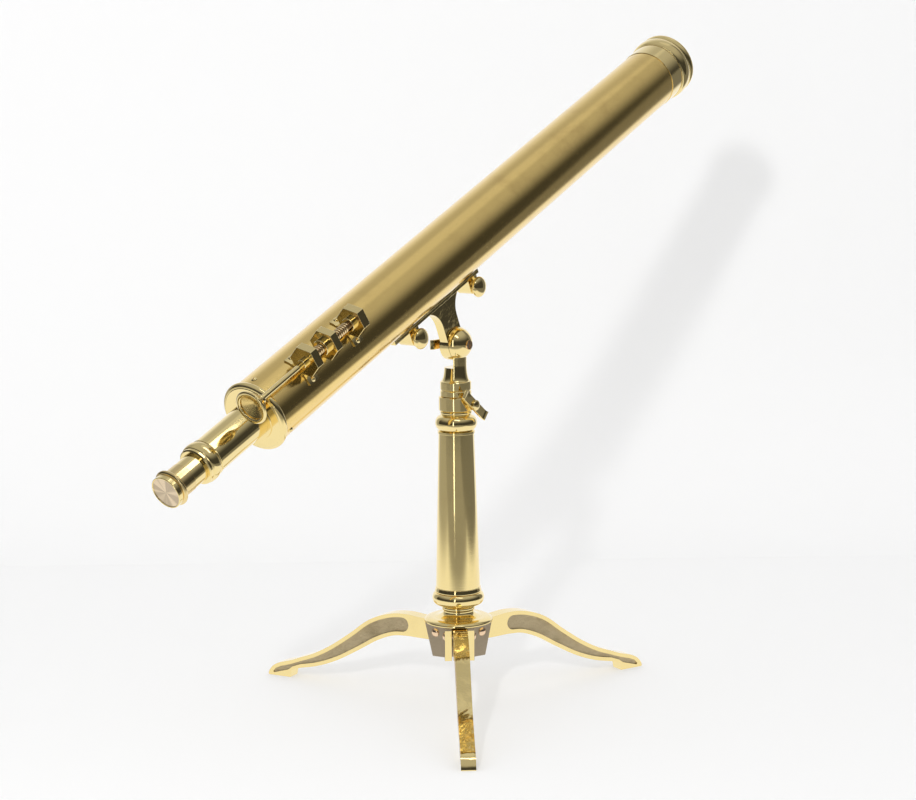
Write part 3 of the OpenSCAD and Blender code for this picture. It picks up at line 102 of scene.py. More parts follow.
def smooth_curve(points: list[tuple[float, ...]], n: int = 5) -> list[tuple[float, ...]]:
    """A smooth curve through points, with n steps between each two.

    Args:
        points: Points of any dimension.
        n: Steps between two of them.

    Returns:
        The points of the curve.
    """
    out: list[tuple[float, ...]] = []
    last = len(points) - 1
    for i in range(last):
        a, b, c, d = (points[max(i - 1, 0)], points[i], points[i + 1], points[min(i + 2, last)])
        for j in range(n + 1 if i == last - 1 else n):
            t = j / n
            out.append(tuple(
                ((2 * q) + (r - p) * t + (2 * p - 5 * q + 4 * r - s) * t * t
                 + (3 * q - p - 3 * r + s) * t * t * t) / 2
                for p, q, r, s in zip(a, b, c, d)
            ))
    return out


def soften(outline: Outline, radius: float = 0.35, closed: bool = True, n: int = 4) -> Outline:
    """Rounds the corners of an outline, as a polisher's wheel does.

    Args:
        outline: Points as radius and station.
        radius: Largest radius of a rounded corner.
        closed: Whether the last point joins the first.
        n: Steps round a corner.

    Returns:
        The rounded outline.
    """
    out: Outline = []
    count = len(outline)
    for i, point in enumerate(outline):
        if not closed and i in (0, count - 1):
            out.append(point)
            continue
        here = Vector(point)
        to_a, to_b = Vector(outline[i - 1]) - here, Vector(outline[(i + 1) % count]) - here
        if min(to_a.length, to_b.length) < 1e-6:
            out.append(point)
            continue
        turn = math.pi - to_a.angle(to_b)
        if math.degrees(turn) < 28:
            out.append(point)
            continue
        reach = min(radius * math.tan(turn / 2), 0.42 * to_a.length, 0.42 * to_b.length)
        start, end = here + to_a.normalized() * reach, here + to_b.normalized() * reach
        for k in range(n + 1):
            t = k / n
            bend = start * (1 - t) ** 2 + here * 2 * t * (1 - t) + end * t ** 2
            out.append((bend.x, bend.y))
    return out


def grow(part: Mesh, grown: dict, vec: tuple[float, float, float]) -> list[bmesh.types.BMEdge]:
    """Moves the corners that an extrusion made.

    Args:
        part: The mesh.
        grown: The answer of the extrusion.
        vec: How far its new corners go.

    Returns:
        The edges that the extrusion made.
    """
    verts = [v for v in grown["geom"] if isinstance(v, bmesh.types.BMVert)]
    bmesh.ops.translate(part, verts=verts, vec=vec)
    return [e for e in grown["geom"] if isinstance(e, bmesh.types.BMEdge)]


def prism(outline: Outline, low: float, high: float) -> Mesh:
    """A straight prism over an outline, between two heights."""
    part = bmesh.new()
    face = part.faces.new([part.verts.new((x, y, low)) for x, y in outline])
    grow(part, bmesh.ops.extrude_face_region(part, geom=[face]), (0, 0, high - low))
    return part


def cut(part: Mesh, point: Vector, normal: Vector, faces: list[bmesh.types.BMFace] | None = None,
        clear: bool = False) -> dict:
    """Cuts a mesh by a plane.

    Args:
        part: The mesh.
        point: A point of the plane.
        normal: Direction square to the plane.
        faces: The faces to cut, or all of them.
        clear: Whether what lies on the normal's side goes.

    Returns:
        The answer of the cut.
    """
    faces = part.faces[:] if faces is None else faces
    corners = dict.fromkeys(v for f in faces for v in f.verts)
    edges = dict.fromkeys(e for f in faces for e in f.edges)
    return bmesh.ops.bisect_plane(part, geom=[*corners, *edges, *faces], dist=CLOSE, plane_co=point,
                                  plane_no=normal, clear_outer=clear)


def place_object(name: str, data: bpy.types.ID) -> bpy.types.Object:
    """A new object in the scene."""
    made = bpy.data.objects.new(name, data)
    bpy.context.scene.collection.objects.link(made)
    return made


@dataclass(frozen=True)
class Pose:
    """How the tube lies at rest: its tilt, its pivot and its distance from it."""

    tilt: float = 23.5
    pivot_z: float = 456.0
    axis_h: float = 111.4
    gear_angle: float = 46.6
    gear_rho: float = 58.0

    def along(self) -> Vector:
        """Direction of the tube, toward the objective."""
        return Vector((math.cos(math.radians(self.tilt)), 0, math.sin(math.radians(self.tilt))))

    def above(self) -> Vector:
        """Direction square to the tube, away from the table."""
        return Vector((-math.sin(math.radians(self.tilt)), 0, math.cos(math.radians(self.tilt))))

    def outward(self, angle: float) -> Vector:
        """Direction square to the tube, at an angle from its top toward the near side."""
        return Matrix.Rotation(math.radians(angle), 4, self.along()) @ self.above()

    def on_axis(self, station: float = 0) -> Vector:
        """A point of the tube's axis."""
        return Vector((0, 0, self.pivot_z)) + self.above() * self.axis_h + self.along() * station

    def tube(self) -> Matrix:
        """Matrix of a piece turned about the tube's axis: Z along it, X up, Y to the near side."""
        return self.basis(self.above(), self.along(), self.on_axis())

    def radial(self, station: float, angle: float, rho: float) -> Matrix:
        """Matrix with Z outward from the tube's axis and X along the tube.

        Args:
            station: Place along the tube.
            angle: Angle from the tube's top toward the near side.
            rho: Distance of the origin from the tube's axis.

        Returns:
            The matrix.
        """
        out = self.outward(angle)
        return self.basis(self.along(), out, self.on_axis(station) + out * rho)

    def gear(self) -> Matrix:
        """Matrix of a piece turned about the focusing gear's axis: X away from the tube."""
        out = self.outward(self.gear_angle)
        return self.basis(out, self.along(), self.on_axis() + out * self.gear_rho)

    def cross(self, station: float, above: float) -> Matrix:
        """Matrix of a piece turned about a line across the tube: Z to the near side, X along the tube."""
        origin = Vector((0, 0, self.pivot_z)) + self.along() * station + self.above() * above
        return self.basis(self.along(), Vector((0, -1, 0)), origin)

    @staticmethod
    def basis(x: Vector, z: Vector, origin: Vector) -> Matrix:
        """Matrix with the given X and Z directions and origin."""
        y = z.cross(x)
        rows = [[x[i], y[i], z[i], origin[i]] for i in range(3)]
        return Matrix([*rows, [0, 0, 0, 1]])


POSE = Pose()
UPRIGHT = Matrix.Identity(4)


class Nodes:
    """Short way to write a node tree."""

    def __init__(self, owner: bpy.types.Material | bpy.types.World) -> None:
        """Starts an empty tree."""
        owner.use_nodes = True
        self.tree = owner.node_tree
        self.tree.nodes.clear()

    def add(self, kind: str, **settings: object) -> bpy.types.Node:
        """Adds a node and sets its properties."""
        made = self.tree.nodes.new(kind)
        for name, value in settings.items():
            setattr(made, name, value)
        return made

    def link(self, source: Socket, target: Socket) -> None:
        """Joins two sockets."""
        self.tree.links.new(source, target)

    def value(self, source: object, target: Socket) -> None:
        """Sets a socket from a number or from another socket."""
        if isinstance(source, Socket):
            self.link(source, target)
        else:
            target.default_value = source

    def math(self, operation: str, a: object, b: object = 0.0, clamp: bool = False) -> Socket:
        """A Math node on two numbers or sockets."""
        made = self.add("ShaderNodeMath", operation=operation, use_clamp=clamp)
        self.value(a, made.inputs[0])
        self.value(b, made.inputs[1])
        return made.outputs[0]

    def dot(self, vector: Socket, direction: Vector) -> Socket:
        """Share of a vector along a direction."""
        made = self.add("ShaderNodeVectorMath", operation="DOT_PRODUCT")
        self.link(vector, made.inputs[0])
        made.inputs[1].default_value = direction
        return made.outputs["Value"]

    def ramp(self, value: object, low: float, high: float, to_low: float = 0.0,
             to_high: float = 1.0) -> Socket:
        """A smooth step between two values."""
        made = self.add("ShaderNodeMapRange", interpolation_type="SMOOTHSTEP")
        self.value(value, made.inputs["Value"])
        for name, number in (("From Min", low), ("From Max", high), ("To Min", to_low), ("To Max", to_high)):
            made.inputs[name].default_value = number
        return made.outputs["Result"]

    def noise(self, vector: Socket, scale: float, detail: float = 3.0,
              roughness: float = 0.55) -> Socket:
        """A noise pattern, in metres of the object."""
        made = self.add("ShaderNodeTexNoise")
        for name, source in (("Vector", vector), ("Scale", scale), ("Detail", detail),
                             ("Roughness", roughness)):
            self.value(source, made.inputs[name])
        return made.outputs["Fac"]

    def least(self, a: object, b: object) -> Socket:
        """The smaller of two numbers."""
        return self.math("MINIMUM", a, b)

    def most(self, a: object, b: object) -> Socket:
        """The greater of two numbers."""
        return self.math("MAXIMUM", a, b)

    def times(self, a: object, b: object) -> Socket:
        """The product of two numbers."""
        return self.math("MULTIPLY", a, b)

    def settle(self, shader: bpy.types.Node, **settings: object) -> None:
        """Sets a shader's inputs, named with underscores for spaces, and makes it the surface."""
        for name, source in settings.items():
            self.value(source, shader.inputs[name.replace("_", " ")])
        kind = "World" if shader.bl_idname == "ShaderNodeBackground" else "Material"
        self.link(shader.outputs[0], self.add(f"ShaderNodeOutput{kind}").inputs["Surface"])

    def grey(self, value: Socket) -> Socket:
        """A number as a neutral colour."""
        made = self.add("ShaderNodeCombineColor")
        for name in ("Red", "Green", "Blue"):
            self.link(value, made.inputs[name])
        return made.outputs["Color"]

    def mix(self, factor: object, a: object, b: object, blend: str = "MIX") -> Socket:
        """A mix of two colours."""
        made = self.add("ShaderNodeMix", data_type="RGBA", blend_type=blend)
        self.value(factor, made.inputs["Factor"])
        self.value(a, made.inputs["A"])
        self.value(b, made.inputs["B"])
        return made.outputs["Result"]


@dataclass(frozen=True)
class BrassFinish:
    """A brass surface: its colour, its gloss, its tarnish, the marks of polishing and age, and on spun faces
    painted streaks of highlight and shade.
    """

    name: str
    colour: Colour = (0.91, 0.73, 0.33, 1)
    tarnish: Colour = (0.60, 0.42, 0.18, 1)
    tarnish_share: float = 0.25
    gloss: float = 0.06
    gloss_spread: float = 0.07
    grain: Grain = Grain.NONE
    grain_depth: float = 0.02
    wave: float = 0.0
    pits: float = 0.0
    pebble: float = 0.0
    lacquer: float = 0.5
    # Strength of the painted highlight and shade streaks on spun faces.
    painted_streak_strength: float = 0.0
    dirt_rough: float = 0.18
    lacquer_gloss: float = 0.7

    def material(self) -> bpy.types.Material:
        """The finish as a node material on Object coordinates."""
        made = bpy.data.materials.new(self.name)
        n = Nodes(made)
        place = n.add("ShaderNodeTexCoord").outputs["Object"]
        patches, clouds = n.noise(place, 28, 5, 0.6), n.noise(place, 9, 4, 0.6)
        stain = n.times(n.ramp(patches, 0.45, 0.75), n.ramp(clouds, 0.4, 0.65))
        speck = n.ramp(n.noise(place, 520, 2, 0.5), 0.70, 0.78)
        dirt = n.math("ADD", n.times(stain, self.tarnish_share), n.times(speck, self.pits), clamp=True)
        colour = n.mix(dirt, self.colour, self.tarnish)
        # Painted highlight and shade: on spun faces the colour is lightened and darkened in streaks that run
        # out from the axis, standing in for the light that spun rings catch.
        if self.painted_streak_strength:
            painted_streaks = n.noise(self.bearing(n, place), 1.7, 1, 0.5)
            lit = n.ramp(painted_streaks, 0.38, 0.62, 1 - self.painted_streak_strength, 1 + self.painted_streak_strength)
            colour = n.mix(1.0, colour, n.grey(lit), "MULTIPLY")
        haze = n.times(n.noise(place, 60, 4, 0.7), self.gloss_spread)
        rough = n.math("ADD", n.math("ADD", self.gloss, haze), n.times(dirt, self.dirt_rough))
        n.settle(n.add("ShaderNodeBsdfPrincipled"), Metallic=1.0, Base_Color=colour, Roughness=rough,
                 Coat_Weight=self.lacquer, Coat_Roughness=self.gloss * self.lacquer_gloss,
                 Normal=self.relief(n, place, speck))
        return made

    def relief(self, n: Nodes, place: Socket, speck: Socket) -> Socket:
        """The fine relief: marks of the polisher's cloth, waves of hand filing, pits and casting grain.

        Args:
            n: The material's nodes.
            place: Object coordinates.
            speck: Where the pits are.

        Returns:
            The normal.
        """
        layers = []
        if self.grain in (Grain.TUBE_RINGS, Grain.GEAR_RINGS):
            layers.append((self.rings(n, place), self.grain_depth, 0.0004))
        elif self.grain is not Grain.NONE:
            turn, stretch = n.add("ShaderNodeMapping", vector_type="TEXTURE"), n.add("ShaderNodeMapping")
            n.link(place, turn.inputs["Vector"])
            tilt = math.radians(POSE.tilt) if self.grain is Grain.TUBE else 0.0
            turn.inputs["Rotation"].default_value = (0, -tilt, 0)
            n.link(turn.outputs["Vector"], stretch.inputs["Vector"])
            across = {Grain.TUBE: (900, 14, 14), Grain.PILLAR: (14, 14, 900), Grain.CROSS: (14, 900, 14)}
            stretch.inputs["Scale"].default_value = across[self.grain]
            layers.append((n.noise(stretch.outputs["Vector"], 1, 3, 0.6), self.grain_depth, 0.0004))
        if self.wave:
            layers.append((n.noise(place, 70, 2, 0.4), self.wave, 0.004))
        if self.pits:
            layers.append((n.times(speck, -1.0), self.pits, 0.0004))
        if self.pebble:
            layers.append((n.noise(place, 900, 3, 0.6), self.pebble, 0.0006))
            layers.append((n.noise(place, 240, 3, 0.6), self.pebble * 0.6, 0.0015))
        normal = n.add("ShaderNodeNewGeometry").outputs["Normal"]
        for height, strength, distance in layers:
            bump = n.add("ShaderNodeBump")
            for name, source in (("Strength", min(strength, 1.0)), ("Distance", distance), ("Height", height),
                                 ("Normal", normal)):
                n.value(source, bump.inputs[name])
            normal = bump.outputs["Normal"]
        return normal

    def flat(self, n: Nodes, place: Socket) -> Socket:
        """Place in the plane square to the face's axis, from that axis."""
        axis = POSE.tube() if self.grain is Grain.TUBE_RINGS else POSE.gear()
        turn = n.add("ShaderNodeMapping", vector_type="TEXTURE")
        n.link(place, turn.inputs["Vector"])
        turn.inputs["Location"].default_value = axis.to_translation() * MM
        turn.inputs["Rotation"].default_value = axis.to_euler()
        parts, flat = n.add("ShaderNodeSeparateXYZ"), n.add("ShaderNodeCombineXYZ")
        n.link(turn.outputs["Vector"], parts.inputs["Vector"])
        n.link(parts.outputs["X"], flat.inputs["X"])
        n.link(parts.outputs["Y"], flat.inputs["Y"])
        return flat.outputs["Vector"]

    def bearing(self, n: Nodes, place: Socket) -> Socket:
        """Direction from the face's axis, along which the painted light and shade streaks on a spun face run.
        """
        unit = n.add("ShaderNodeVectorMath", operation="NORMALIZE")
        n.link(self.flat(n, place), unit.inputs[0])
        return unit.outputs["Vector"]

    def rings(self, n: Nodes, place: Socket) -> Socket:
        """Fine rings that a lathe leaves on a face, centred on the face's axis."""
        reach = n.add("ShaderNodeVectorMath", operation="LENGTH")
        n.link(self.flat(n, place), reach.inputs[0])
        line = n.add("ShaderNodeCombineXYZ")
        n.link(reach.outputs["Value"], line.inputs["X"])
        return n.noise(line.outputs["Vector"], 1500, 2, 0.6)


@dataclass(frozen=True)
class GlassFinish:
    """Clear lens glass with a faint tint and dust."""

    name: str
    colour: Colour = (0.94, 0.97, 0.96, 1)
    refraction: float = 1.52

    def material(self) -> bpy.types.Material:
        """The finish as a node material."""
        made = bpy.data.materials.new(self.name)
        n = Nodes(made)
        place = n.add("ShaderNodeTexCoord").outputs["Object"]
        dust = n.ramp(n.noise(place, 140, 5, 0.7), 0.5, 0.8, 0.0, 0.12)
        n.settle(n.add("ShaderNodeBsdfPrincipled"), Base_Color=self.colour, Transmission_Weight=1.0,
                 IOR=self.refraction, Roughness=dust)
        return made


class Finish(Enum):
    """Every finish on the telescope."""

    TUBE = BrassFinish("lacquered tube", (0.90, 0.66, 0.24, 1), (0.42, 0.25, 0.08, 1), 0.25, 0.14, 0.06,
                       Grain.TUBE, 0.05, 0.0, 0.3, lacquer=0.15)
    TUBE_FITTING = BrassFinish("polished tube fitting", grain=Grain.TUBE, grain_depth=0.03)
    EYEPIECE = BrassFinish("toned eyepiece", (0.84, 0.65, 0.30, 1), gloss=0.10, grain=Grain.TUBE,
                           grain_depth=0.05)
    PILLAR = BrassFinish("polished pillar", grain=Grain.PILLAR, grain_depth=0.03)
    CROSS = BrassFinish("polished clamp screw", grain=Grain.CROSS, grain_depth=0.03)
    FILED = BrassFinish("filed and polished brass", grain=Grain.NONE, wave=0.16)
    CAST = BrassFinish("dull cast brass", (0.46, 0.38, 0.27, 1), (0.30, 0.23, 0.15, 1), 0.6, 0.46, 0.15,
                       pebble=0.5, lacquer=0.0)
    PANEL = BrassFinish("pebbled panel", (0.60, 0.49, 0.30, 1), (0.36, 0.28, 0.15, 1), 0.6, 0.40, 0.15,
                        pebble=1.0, lacquer=0.1)
    # The cap face and the knob dish carry painted highlight and shade streaks on top of their own colour.
    CAP = BrassFinish("spun cap face, painted streaks", (0.66, 0.53, 0.36, 1), (0.45, 0.34, 0.22, 1), 0.2, 0.22, 0.06,
                      Grain.TUBE_RINGS, 0.35, lacquer=0.2, painted_streak_strength=0.2)
    DISH = BrassFinish("spun knob dish, painted streaks", (0.88, 0.66, 0.25, 1), (0.60, 0.38, 0.12, 1), 0.2, 0.24, 0.06,
                       Grain.GEAR_RINGS, 0.35, lacquer=0.2, painted_streak_strength=0.2)
    COPPER = BrassFinish("reddish screw", (0.86, 0.62, 0.40, 1), (0.45, 0.26, 0.13, 1), 0.3, 0.12, 0.08)
    THREAD = BrassFinish("worn lead screw", (0.90, 0.70, 0.40, 1), (0.45, 0.28, 0.12, 1), 0.4, 0.12, 0.10)
    # Painted shade: the thread's core, seen only between the ridges, is coloured dark brown to stand for the
    # shade in the thread's root.
    PAINTED_ROOT_SHADE = BrassFinish("painted shade in the thread's root", (0.26, 0.16, 0.08, 1), (0.12, 0.07, 0.03, 1), 0.5, 0.35,
                       0.15)
    BLACK = BrassFinish("black lacquer", (0.03, 0.03, 0.03, 1), (0.06, 0.05, 0.04, 1), 0.4, 0.55, 0.2,
                        lacquer=0.1)
    STEEL = BrassFinish("bright steel", (0.62, 0.60, 0.57, 1), (0.35, 0.28, 0.2, 1), 0.4, 0.2, 0.1)
    GLASS = GlassFinish("lens glass")


class Bench:
    """The workshop: turns, planes and places the meshes, and keeps the materials."""

    def __init__(self) -> None:
        """Starts with no material made."""
        self.materials: dict[Finish, bpy.types.Material] = {}

    def material(self, finish: Finish) -> bpy.types.Material:
        """The material of a finish, made once."""
        if finish not in self.materials:
            self.materials[finish] = finish.value.material()
        return self.materials[finish]

    def turn(self, bm: Mesh, outline: Outline, place: Matrix, closed: bool = True,
             steps: int = 128, soft: float = 0.35) -> None:
        """Turns an outline about local Z and adds it to a mesh.

        Args:
            bm: The mesh to add to.
            outline: Points as radius and station.
            place: Where the axis lies, in millimetres.
            closed: Whether the outline is a closed loop, off the axis.
            steps: Steps round the axis.
            soft: Radius of the rounded corners.
        """
        points = soften(outline, soft, closed)
        part = bmesh.new()
        verts = [part.verts.new((r, 0, z)) for r, z in points]
        edges = [part.edges.new((a, b)) for a, b in zip(verts, verts[1:])]
        if closed:
            edges.append(part.edges.new((verts[-1], verts[0])))
        bmesh.ops.spin(part, geom=verts + edges, cent=(0, 0, 0), axis=(0, 0, 1), dvec=(0, 0, 0),
                       angle=2 * math.pi, steps=steps, use_merge=True, use_duplicate=False)
        bmesh.ops.remove_doubles(part, verts=part.verts, dist=CLOSE)
        self.join(bm, part, place)

    def plate(self, bm: Mesh, outline: Outline, thick: float, place: Matrix,
              bevel: float = 0.4, sides: int = 2) -> None:
        """A flat plate from an outline in local X and Y, from Z = 0 to its thickness, with rounded edges.

        Args:
            bm: The mesh to add to.
            outline: Points as X and Y.
            thick: Thickness along local Z.
            place: Where the plate lies, in millimetres.
            bevel: Radius of the rounded edges.
            sides: Steps round an edge.
        """
        part = prism(outline, 0, thick)
        bmesh.ops.recalc_face_normals(part, faces=part.faces)
        self.round_edges(part, bevel, sides)
        self.join(bm, part, place)

    def round_edges(self, part: Mesh, bevel: float, sides: int = 2, angle: float = 35) -> None:
        """Rounds every edge that turns by more than an angle."""
        if bevel <= 0:
            return
        part.normal_update()
        edges = [e for e in part.edges if e.is_manifold and math.degrees(e.calc_face_angle(0)) > angle]
        bmesh.ops.bevel(part, geom=edges, offset=bevel, offset_type="OFFSET", segments=sides, profile=0.5,
                        affect="EDGES", clamp_overlap=True, material=-1)

    def join(self, bm: Mesh, part: Mesh, place: Matrix) -> None:
        """Places a finished part and adds it to a mesh, with its faces outward."""
        bmesh.ops.transform(part, matrix=place, verts=part.verts)
        bmesh.ops.recalc_face_normals(part, faces=part.faces)
        scratch = bpy.data.meshes.new("scratch")
        part.to_mesh(scratch)
        part.free()
        bm.from_mesh(scratch)
        bpy.data.meshes.remove(scratch)

    def finish(self, node: str, bm: Mesh, body: str, slot: Slot, *finishes: Finish) -> None:
        """Makes the piece that stands for a node, in metres, and lets it ride on its body.

        Args:
            node: Name of the node.
            bm: The piece's mesh, in millimetres.
            body: The body that it rides on.
            slot: The record's slot of its finish; not used.
            finishes: Its materials, in the order of the faces' indices.
        """
        bmesh.ops.scale(bm, vec=(MM, MM, MM), verts=bm.verts)
        bm.normal_update()
        for face in bm.faces:
            face.smooth = True
        for edge in bm.edges:
            edge.smooth = not edge.is_manifold or math.degrees(edge.calc_face_angle(0)) < SHARP
        name = f"{node}_piece"
        mesh = bpy.data.meshes.new(name)
        bm.to_mesh(mesh)
        bm.free()
        for finish in finishes:
            mesh.materials.append(self.material(finish))
        piece = place_object(name, mesh)
        weigh = piece.modifiers.new("even shading", "WEIGHTED_NORMAL")
        weigh.mode, weigh.weight, weigh.keep_sharp = "FACE_AREA", 60, True
        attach(piece, body)
        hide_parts(node)
        LOG.info("%s: %d faces on %s", name, len(mesh.polygons), body)

    def turned(self, node: str, outline: Outline, place: Matrix, finish: Finish, body: str, steps: int = 128,
               soft: float = 0.35) -> None:
        """A polished piece that is one turned outline."""
        bm = bmesh.new()
        self.turn(bm, outline, place, True, steps, soft)
        self.finish(node, bm, body, Slot.POLISHED, finish)

    def dress(self, finish: Finish, *nodes: str) -> None:
        """Gives carried nodes their material."""
        for node in nodes:
            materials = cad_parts[node].data.materials
            materials.clear()
            materials.append(self.material(finish))
            LOG.info("%s: carried, %s", node, finish.value.name)


def shift(place: Matrix, x: float = 0, y: float = 0, z: float = 0) -> Matrix:
    """A place moved along its own axes."""
    return place @ Matrix.Translation((x, y, z))


def roll(place: Matrix, angle: float, axis: str = "Z") -> Matrix:
    """A place turned about one of its own axes, in degrees."""
    return place @ Matrix.Rotation(math.radians(angle), 4, axis)


def rectangle(x0: float, x1: float, y0: float, y1: float) -> Outline:
    """Corners of a rectangle."""
    return [(x0, y0), (x1, y0), (x1, y1), (x0, y1)]


def hexagon(radius: float) -> Outline:
    """Corners of a hexagon, the first on the X axis."""
    return arc(0, 0, radius, radius, 0, 300, 5)


def dome(radius: float, height: float, base: float = 0, n: int = 12) -> Outline:
    """Outline of a spherical cap, from its rim to the axis, closed underneath."""
    ball = (radius * radius + height * height) / (2 * height)
    low = math.degrees(math.asin(min(1, (ball - height) / ball)))
    return [(0, base)] + arc(0, base + height - ball, ball, ball, low, 90, n)[:-1] + [(0, base + height)]


@dataclass
class Wings:
    """The wing plate of a thumb screw, with out-turned ends."""

    half: float = 27
    width: float = 12
    thick: float = 3.4
    curl: float = 6
    turn: float = 50

    def add(self, bench: Bench, bm: Mesh, place: Matrix) -> None:
        """Adds the plate across a place's Z, its long way along X."""
        a = self.half - (self.curl + self.thick) * math.sin(math.radians(self.turn))
        c, far = self.thick + self.curl, self.thick + self.curl
        outline = (arc(a, c, far, far, -90, -90 + self.turn, 10)
                   + arc(a, c, self.curl, self.curl, -90 + self.turn, -90, 10)
                   + arc(-a, c, self.curl, self.curl, -90, -90 - self.turn, 10)
                   + arc(-a, c, far, far, -90 - self.turn, -90, 10))
        bench.plate(bm, outline, self.width, shift(roll(place, 90, "X"), z=-self.width / 2), 0.9, 3)


@dataclass
class Hub:
    """The three-armed hub under the pillar, its disc and its hinge screws."""

    azimuths: tuple[float, ...] = (-140.9, -20.9, 99.1)
    low_z: float = 58
    top_z: float = 103.5
    width: float = 37.2
    slot_half: float = 9.7
    core_r: float = 8.7
    ear_top_r: float = 38
    ear_foot_r: float = 28
    ear_rise: float = 41.5
    hinge_r: float = 23.6
    hinge_z: float = 89
    disc_r: float = 43.4
    disc_t: float = 5
    cove_r: float = 19.5
    cove_top: float = 118
    swell: float = 11
    bore_r: float = 4.1

    def build(self, bench: Bench) -> None:
        """Makes the hub's block, disc and hinge screws, and dresses the rod and nut inside."""
        self.block(bench)
        half, low = self.disc_t / 2, self.top_z + 1.6
        bench.turned("hub_disc", (
            [(self.bore_r, self.top_z), (self.disc_r - 1.2, self.top_z), (self.disc_r, self.top_z + 0.8)]
            + arc(self.disc_r - self.swell, low, self.swell, half * 2, 0, 90, 20)
            + arc(self.disc_r - self.swell, self.cove_top - 1, self.disc_r - self.swell - self.cove_r,
                  self.cove_top - 1 - low - half * 2, 270, 180, 24)
            + [(self.cove_r, self.cove_top), (self.bore_r, self.cove_top)]), UPRIGHT, Finish.PILLAR, "stand",
            steps=192, soft=0.2)
        self.hinges(bench)
        bench.dress(Finish.STEEL, "tie_rod", "tie_nut")

    def block(self, bench: Bench) -> None:
        """The block: one plan polygon raised, with slanted ears, whose outer ends are polished."""
        notch = self.width / 2 / math.cos(math.radians(30))
        plan: Outline = []
        half = self.width / 2
        for azimuth in self.azimuths:
            a = math.radians(azimuth)
            for x, y in ((notch / 2, -notch * math.sin(math.radians(60))), (self.ear_top_r, -half),
                         (self.ear_top_r, -self.slot_half), (self.core_r, -self.slot_half),
                         (self.core_r, self.slot_half), (self.ear_top_r, self.slot_half),
                         (self.ear_top_r, half)):
                plan.append((x * math.cos(a) - y * math.sin(a), x * math.sin(a) + y * math.cos(a)))
        part = prism(plan, self.low_z, self.top_z - 0.02)
        lean = Vector((self.ear_rise, 0, self.ear_foot_r - self.ear_top_r)).normalized()
        for azimuth in self.azimuths:
            turn = Matrix.Rotation(math.radians(azimuth), 3, "Z")
            done = cut(part, turn @ Vector((self.ear_foot_r, 0, self.low_z)), turn @ lean, clear=True)
            edges = [e for e in done["geom_cut"] if isinstance(e, bmesh.types.BMEdge)]
            bmesh.ops.holes_fill(part, edges=edges, sides=0)
        bmesh.ops.recalc_face_normals(part, faces=part.faces)
        part.normal_update()
        for face in part.faces:
            ends = max(face.normal.dot(Matrix.Rotation(math.radians(a), 3, "Z") @ lean)
                       for a in self.azimuths)
            face.material_index = 1 if ends > 0.98 else 0
        bench.round_edges(part, 0.7, 3)
        bm = bmesh.new()
        bench.join(bm, part, UPRIGHT)
        bench.finish("hub_block", bm, "stand", Slot.CAST, Finish.CAST, Finish.FILED)

    def hinges(self, bench: Bench) -> None:
        """The domed heads of the hinge screws, on both sides of each leg."""
        bm = bmesh.new()
        for azimuth in self.azimuths:
            hinge = shift(roll(UPRIGHT, azimuth), self.hinge_r, 0, self.hinge_z)
            for side in (90, -90):
                place = roll(hinge, side, "X")
                bench.turn(bm, dome(5.6, 2.6), shift(place, z=self.width / 2), False, 48, 0.3)
            end = self.width / 2 + 0.1
            bench.turn(bm, [(0, -end), (3, -end), (3, end), (0, end)], roll(hinge, 90, "X"), False, 32, 0)
        bench.finish("leg_hinge_screws", bm, "stand", Slot.COPPER, Finish.COPPER)


